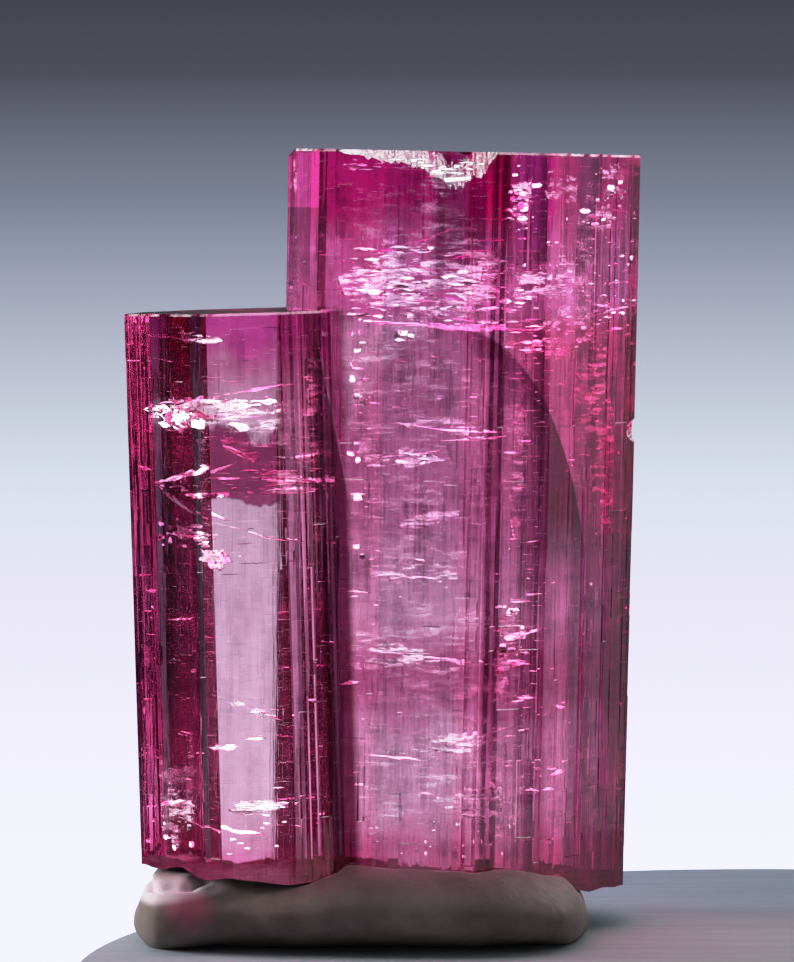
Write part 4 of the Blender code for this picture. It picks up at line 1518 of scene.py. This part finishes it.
# and by azimuth from straight behind, positive to +X: (degrees, share)
LIT_BY_SIDE = (
    (-180, 0.10), (-110, 0.16), (-80, 0.12), (-56, 0.12), (-52, 0.35), (-43, 0.90), (-39, 1.6),
    (-28, 1.6), (-26, 0.30), (-19, 0.30), (-17, 1.1), (-12, 0.95), (10, 1.0), (12, 0.60), (15, 0.08),
    (20, 0.06), (21.5, 0.40), (23, 0.06), (31, 0.08), (34, 0.45), (44, 0.45), (50, 0.25), (55, 0.40),
    (57, 3.5), (68, 3.5), (72, 0.20), (80, 0.06), (100, 0.12), (140, 0.10), (180, 0.10),
)
# Matt surfaces get most of their light from behind: (degrees, share)
MATT_BY_SIDE = (
    (-180, 0.02), (-120, 0.06), (-75, 0.8), (-30, 1.0), (30, 1.0), (75, 0.4), (120, 0.03), (180, 0.02),
)
MATT_LEVEL = 0.80
MIRRORED = 0.12  # what the outer faces mirror of the panels
MIRRORED_ABOVE = 0.55  # and of the light above and below them
SIDE_BAND = (11, 18)  # the dark and light panels end between these elevations


def linear(value):
    """Light for a screen value from 0 to 255."""
    return value / 255 / 12.92 if value <= 10 else ((value / 255 + 0.055) / 1.055) ** 2.4


def shoulder(light):
    """Bright light eases off towards white, as on film."""
    return light if light < SHOULDER else 1 - (1 - SHOULDER) * math.exp((SHOULDER - light) / (1 - SHOULDER))


def before_shoulder(light):
    return light if light < SHOULDER else SHOULDER - (1 - SHOULDER) * math.log((1 - light) / (1 - SHOULDER))


def ease_highlights(view):
    view.view_transform = "Standard"
    view.use_curve_mapping = True
    curves = view.curve_mapping
    curves.use_clip = False
    curves.clip_max_x = BRIGHTEST
    points = curves.curves[3].points
    while len(points) < len(EASED):
        points.new(0.5, 0.5)
    for point, light in zip(points, EASED):
        point.location = (light, shoulder(light))
        point.handle_type = "VECTOR"
    curves.update()


def by(value, stops):
    """A ramp over (degrees, colour or share) stops."""
    low, high = stops[0][0], stops[-1][0]
    share = built("ShaderNodeMapRange", (value, low, high, 0.0, 1.0)).outputs[0]
    return ramp(share, [((v - low) / (high - low), c) for v, c in stops])


def make_world():
    world = bpy.data.worlds.new("soft_studio")
    bpy.context.scene.world = world
    world.use_nodes = True
    world.cycles.sampling_method = "NONE"  # so that matt surfaces get their own light alone
    tree = world.node_tree
    tree.nodes.clear()
    x, y, z = split(add_node(tree, "ShaderNodeTexCoord").outputs["Generated"])
    height = times(maths("ARCSINE", z), 180 / math.pi)
    turn = times(maths("ARCTAN2", x, y), 180 / math.pi)
    seen = by(height, [(v, [before_shoulder(linear(part)) for part in colour]) for v, colour in BACKDROP])
    band = fade(maths("ABSOLUTE", height), *SIDE_BAND, 1.0, 0.0)
    around = multiply(by(height, LIT_BY_HEIGHT), mix(band, (1.0, 1.0, 1.0), by(turn, LIT_BY_SIDE)))
    path = add_node(tree, "ShaderNodeLightPath").outputs
    mirrored = maths("MAXIMUM", minus(path["Is Glossy Ray"], path["Is Transmission Ray"]), 0.0)
    dimmer = mix(band, (MIRRORED_ABOVE,) * 3, (MIRRORED,) * 3)
    around = multiply(around, mix(mirrored, (1.0, 1.0, 1.0), dimmer))
    matt = multiply((MATT_LEVEL,) * 3, by(turn, MATT_BY_SIDE))
    around = mix(path["Is Diffuse Ray"], around, matt)
    shown = add_node(tree, "ShaderNodeMixShader")
    feed(shown.inputs[0], path["Is Camera Ray"])
    for index, light in ((1, around), (2, seen)):
        feed(shown.inputs[index], built("ShaderNodeBackground", (light,)).outputs[0])
    built("ShaderNodeOutputWorld", (shown.outputs[0],))


# ---------------------------------------------------------------- lights and camera
# Name, place, what it points at, width and height in metres, power in watts
LIGHTS = (
    ("low_soft_light", (-0.30, 0.06, 0.075), (0, 0, 0.01), (0.12, 0.12), 1.0),
    ("floor_bounce", (-0.001, -0.032, 0.0015), (-0.001, -0.011, 0.0035), (0.030, 0.003), 0.0002),
)
# The camera stands 300 mm in front, where a step of 0.06 mm fills one step of the picture
CAMERA_DISTANCE = 0.300
CAMERA_PLACE = (0.81 * MM, -CAMERA_DISTANCE - 3 * MM, 46.3 * MM)
PICTURE_STEP = 0.06 * MM
PICTURE_HEIGHT = 962
SENSOR = 36.0
LOOK_DOWN = math.atan(311 / 5000)


def make_light(name, place, target, size, power):
    lamp = bpy.data.lights.new(name, "AREA")
    lamp.shape, lamp.size, lamp.size_y, lamp.energy = "RECTANGLE", *size, power
    thing = bpy.data.objects.new(name, lamp)
    thing.location = place
    thing.rotation_euler = (Vector(target) - Vector(place)).to_track_quat("-Z", "Y").to_euler()
    thing.visible_glossy = False
    thing.visible_transmission = False
    bpy.context.scene.collection.objects.link(thing)


def make_camera():
    lens = bpy.data.cameras.new("camera")
    lens.sensor_width = SENSOR
    lens.lens = CAMERA_DISTANCE / PICTURE_STEP / PICTURE_HEIGHT * SENSOR
    camera = bpy.data.objects.new("camera", lens)
    camera.location = CAMERA_PLACE
    camera.rotation_euler = (math.radians(90) - LOOK_DOWN, 0, 0)
    bpy.context.scene.collection.objects.link(camera)
    bpy.context.scene.camera = camera


# ---------------------------------------------------------------- pieces
FOOT_LOOKS_DOWN = -0.5
FOOT_TOP = 6 * MM
TALL_CRACK_SEED, SHORT_CRACK_SEED = 41, 43
TALL_FLECK_SEED, SHORT_FLECK_SEED = 5, 6
MOST_BOUNCES = 24
MOST_MIRRORED_BOUNCES = 12


def make_crystals(growth):
    """Both prisms in one body."""
    crystals = fluted_prism("clear_crystals", TALL)
    cut(crystals, "DIFFERENCE", rim_chip_tool())
    short = fluted_prism("short_prism", SHORT)
    for crystal, chips in ((crystals, TALL_CHIPS), (short, SHORT_CHIPS)):
        for seed, (centre, half) in enumerate(chips):
            cut(crystal, "DIFFERENCE", chip_ball(centre, half, seed * CHIP_SEEDS))
    cut(crystals, "UNION", short)
    cut(crystals, "DIFFERENCE", broken_block())
    dress(crystals, crystal_material(growth), foot_material())
    for polygon in crystals.data.polygons:
        foot = polygon.normal.z < FOOT_LOOKS_DOWN and polygon.center.z < FOOT_TOP
        polygon.material_index = 1 if foot else 0
    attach(crystals, "root")
    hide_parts("tourmaline_crystals")


def make_inner(growth):
    """The cracks, whose walls face the air, then the veils, haze and flecks."""
    cracks = cracks_of(TALL, TALL_FRACTURES, TALL_PARTINGS, TALL_CRACK_SEED)
    cracks += cracks_of(SHORT, SHORT_FRACTURES, SHORT_PARTINGS, SHORT_CRACK_SEED)
    walls, plates, wisps = fracture_material(growth), fleck_material(), wisps_group()
    bright = veil_material(wisps, "wispy_veils", WISP_EDGE, WISP_COVER)
    faint = veil_material(wisps, "faint_haze", HAZE_EDGE, HAZE_COVER)
    for name, body, material in (
        ("inner_cracks", gather(cracks, inside_out=True), walls),
        ("tall_veils", veils_of(TALL, TALL_VEILS), bright),
        ("short_veils", veils_of(SHORT, SHORT_VEILS), bright),
        ("tall_haze", veils_of(TALL, TALL_HAZE), faint),
        ("short_haze", veils_of(SHORT, SHORT_HAZE), faint),
        ("tall_flecks", flecks_of(TALL, TALL_FLECKS, TALL_FLECK_SEED), plates),
        ("short_flecks", flecks_of(SHORT, SHORT_FLECKS, SHORT_FLECK_SEED), plates),
    ):
        piece = add_mesh(name, *body)
        dress(piece, material, smooth=material is not plates)
        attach(piece, "root")


make_world()
for numbers in LIGHTS:
    make_light(*numbers)
make_camera()
make_floor()
growth_lines = growth_group()
make_crystals(growth_lines)
make_inner(growth_lines)
make_putty()

scene = bpy.context.scene
ease_highlights(scene.view_settings)
scene.cycles.max_bounces = MOST_BOUNCES
scene.cycles.transmission_bounces = MOST_BOUNCES
scene.cycles.glossy_bounces = MOST_MIRRORED_BOUNCES
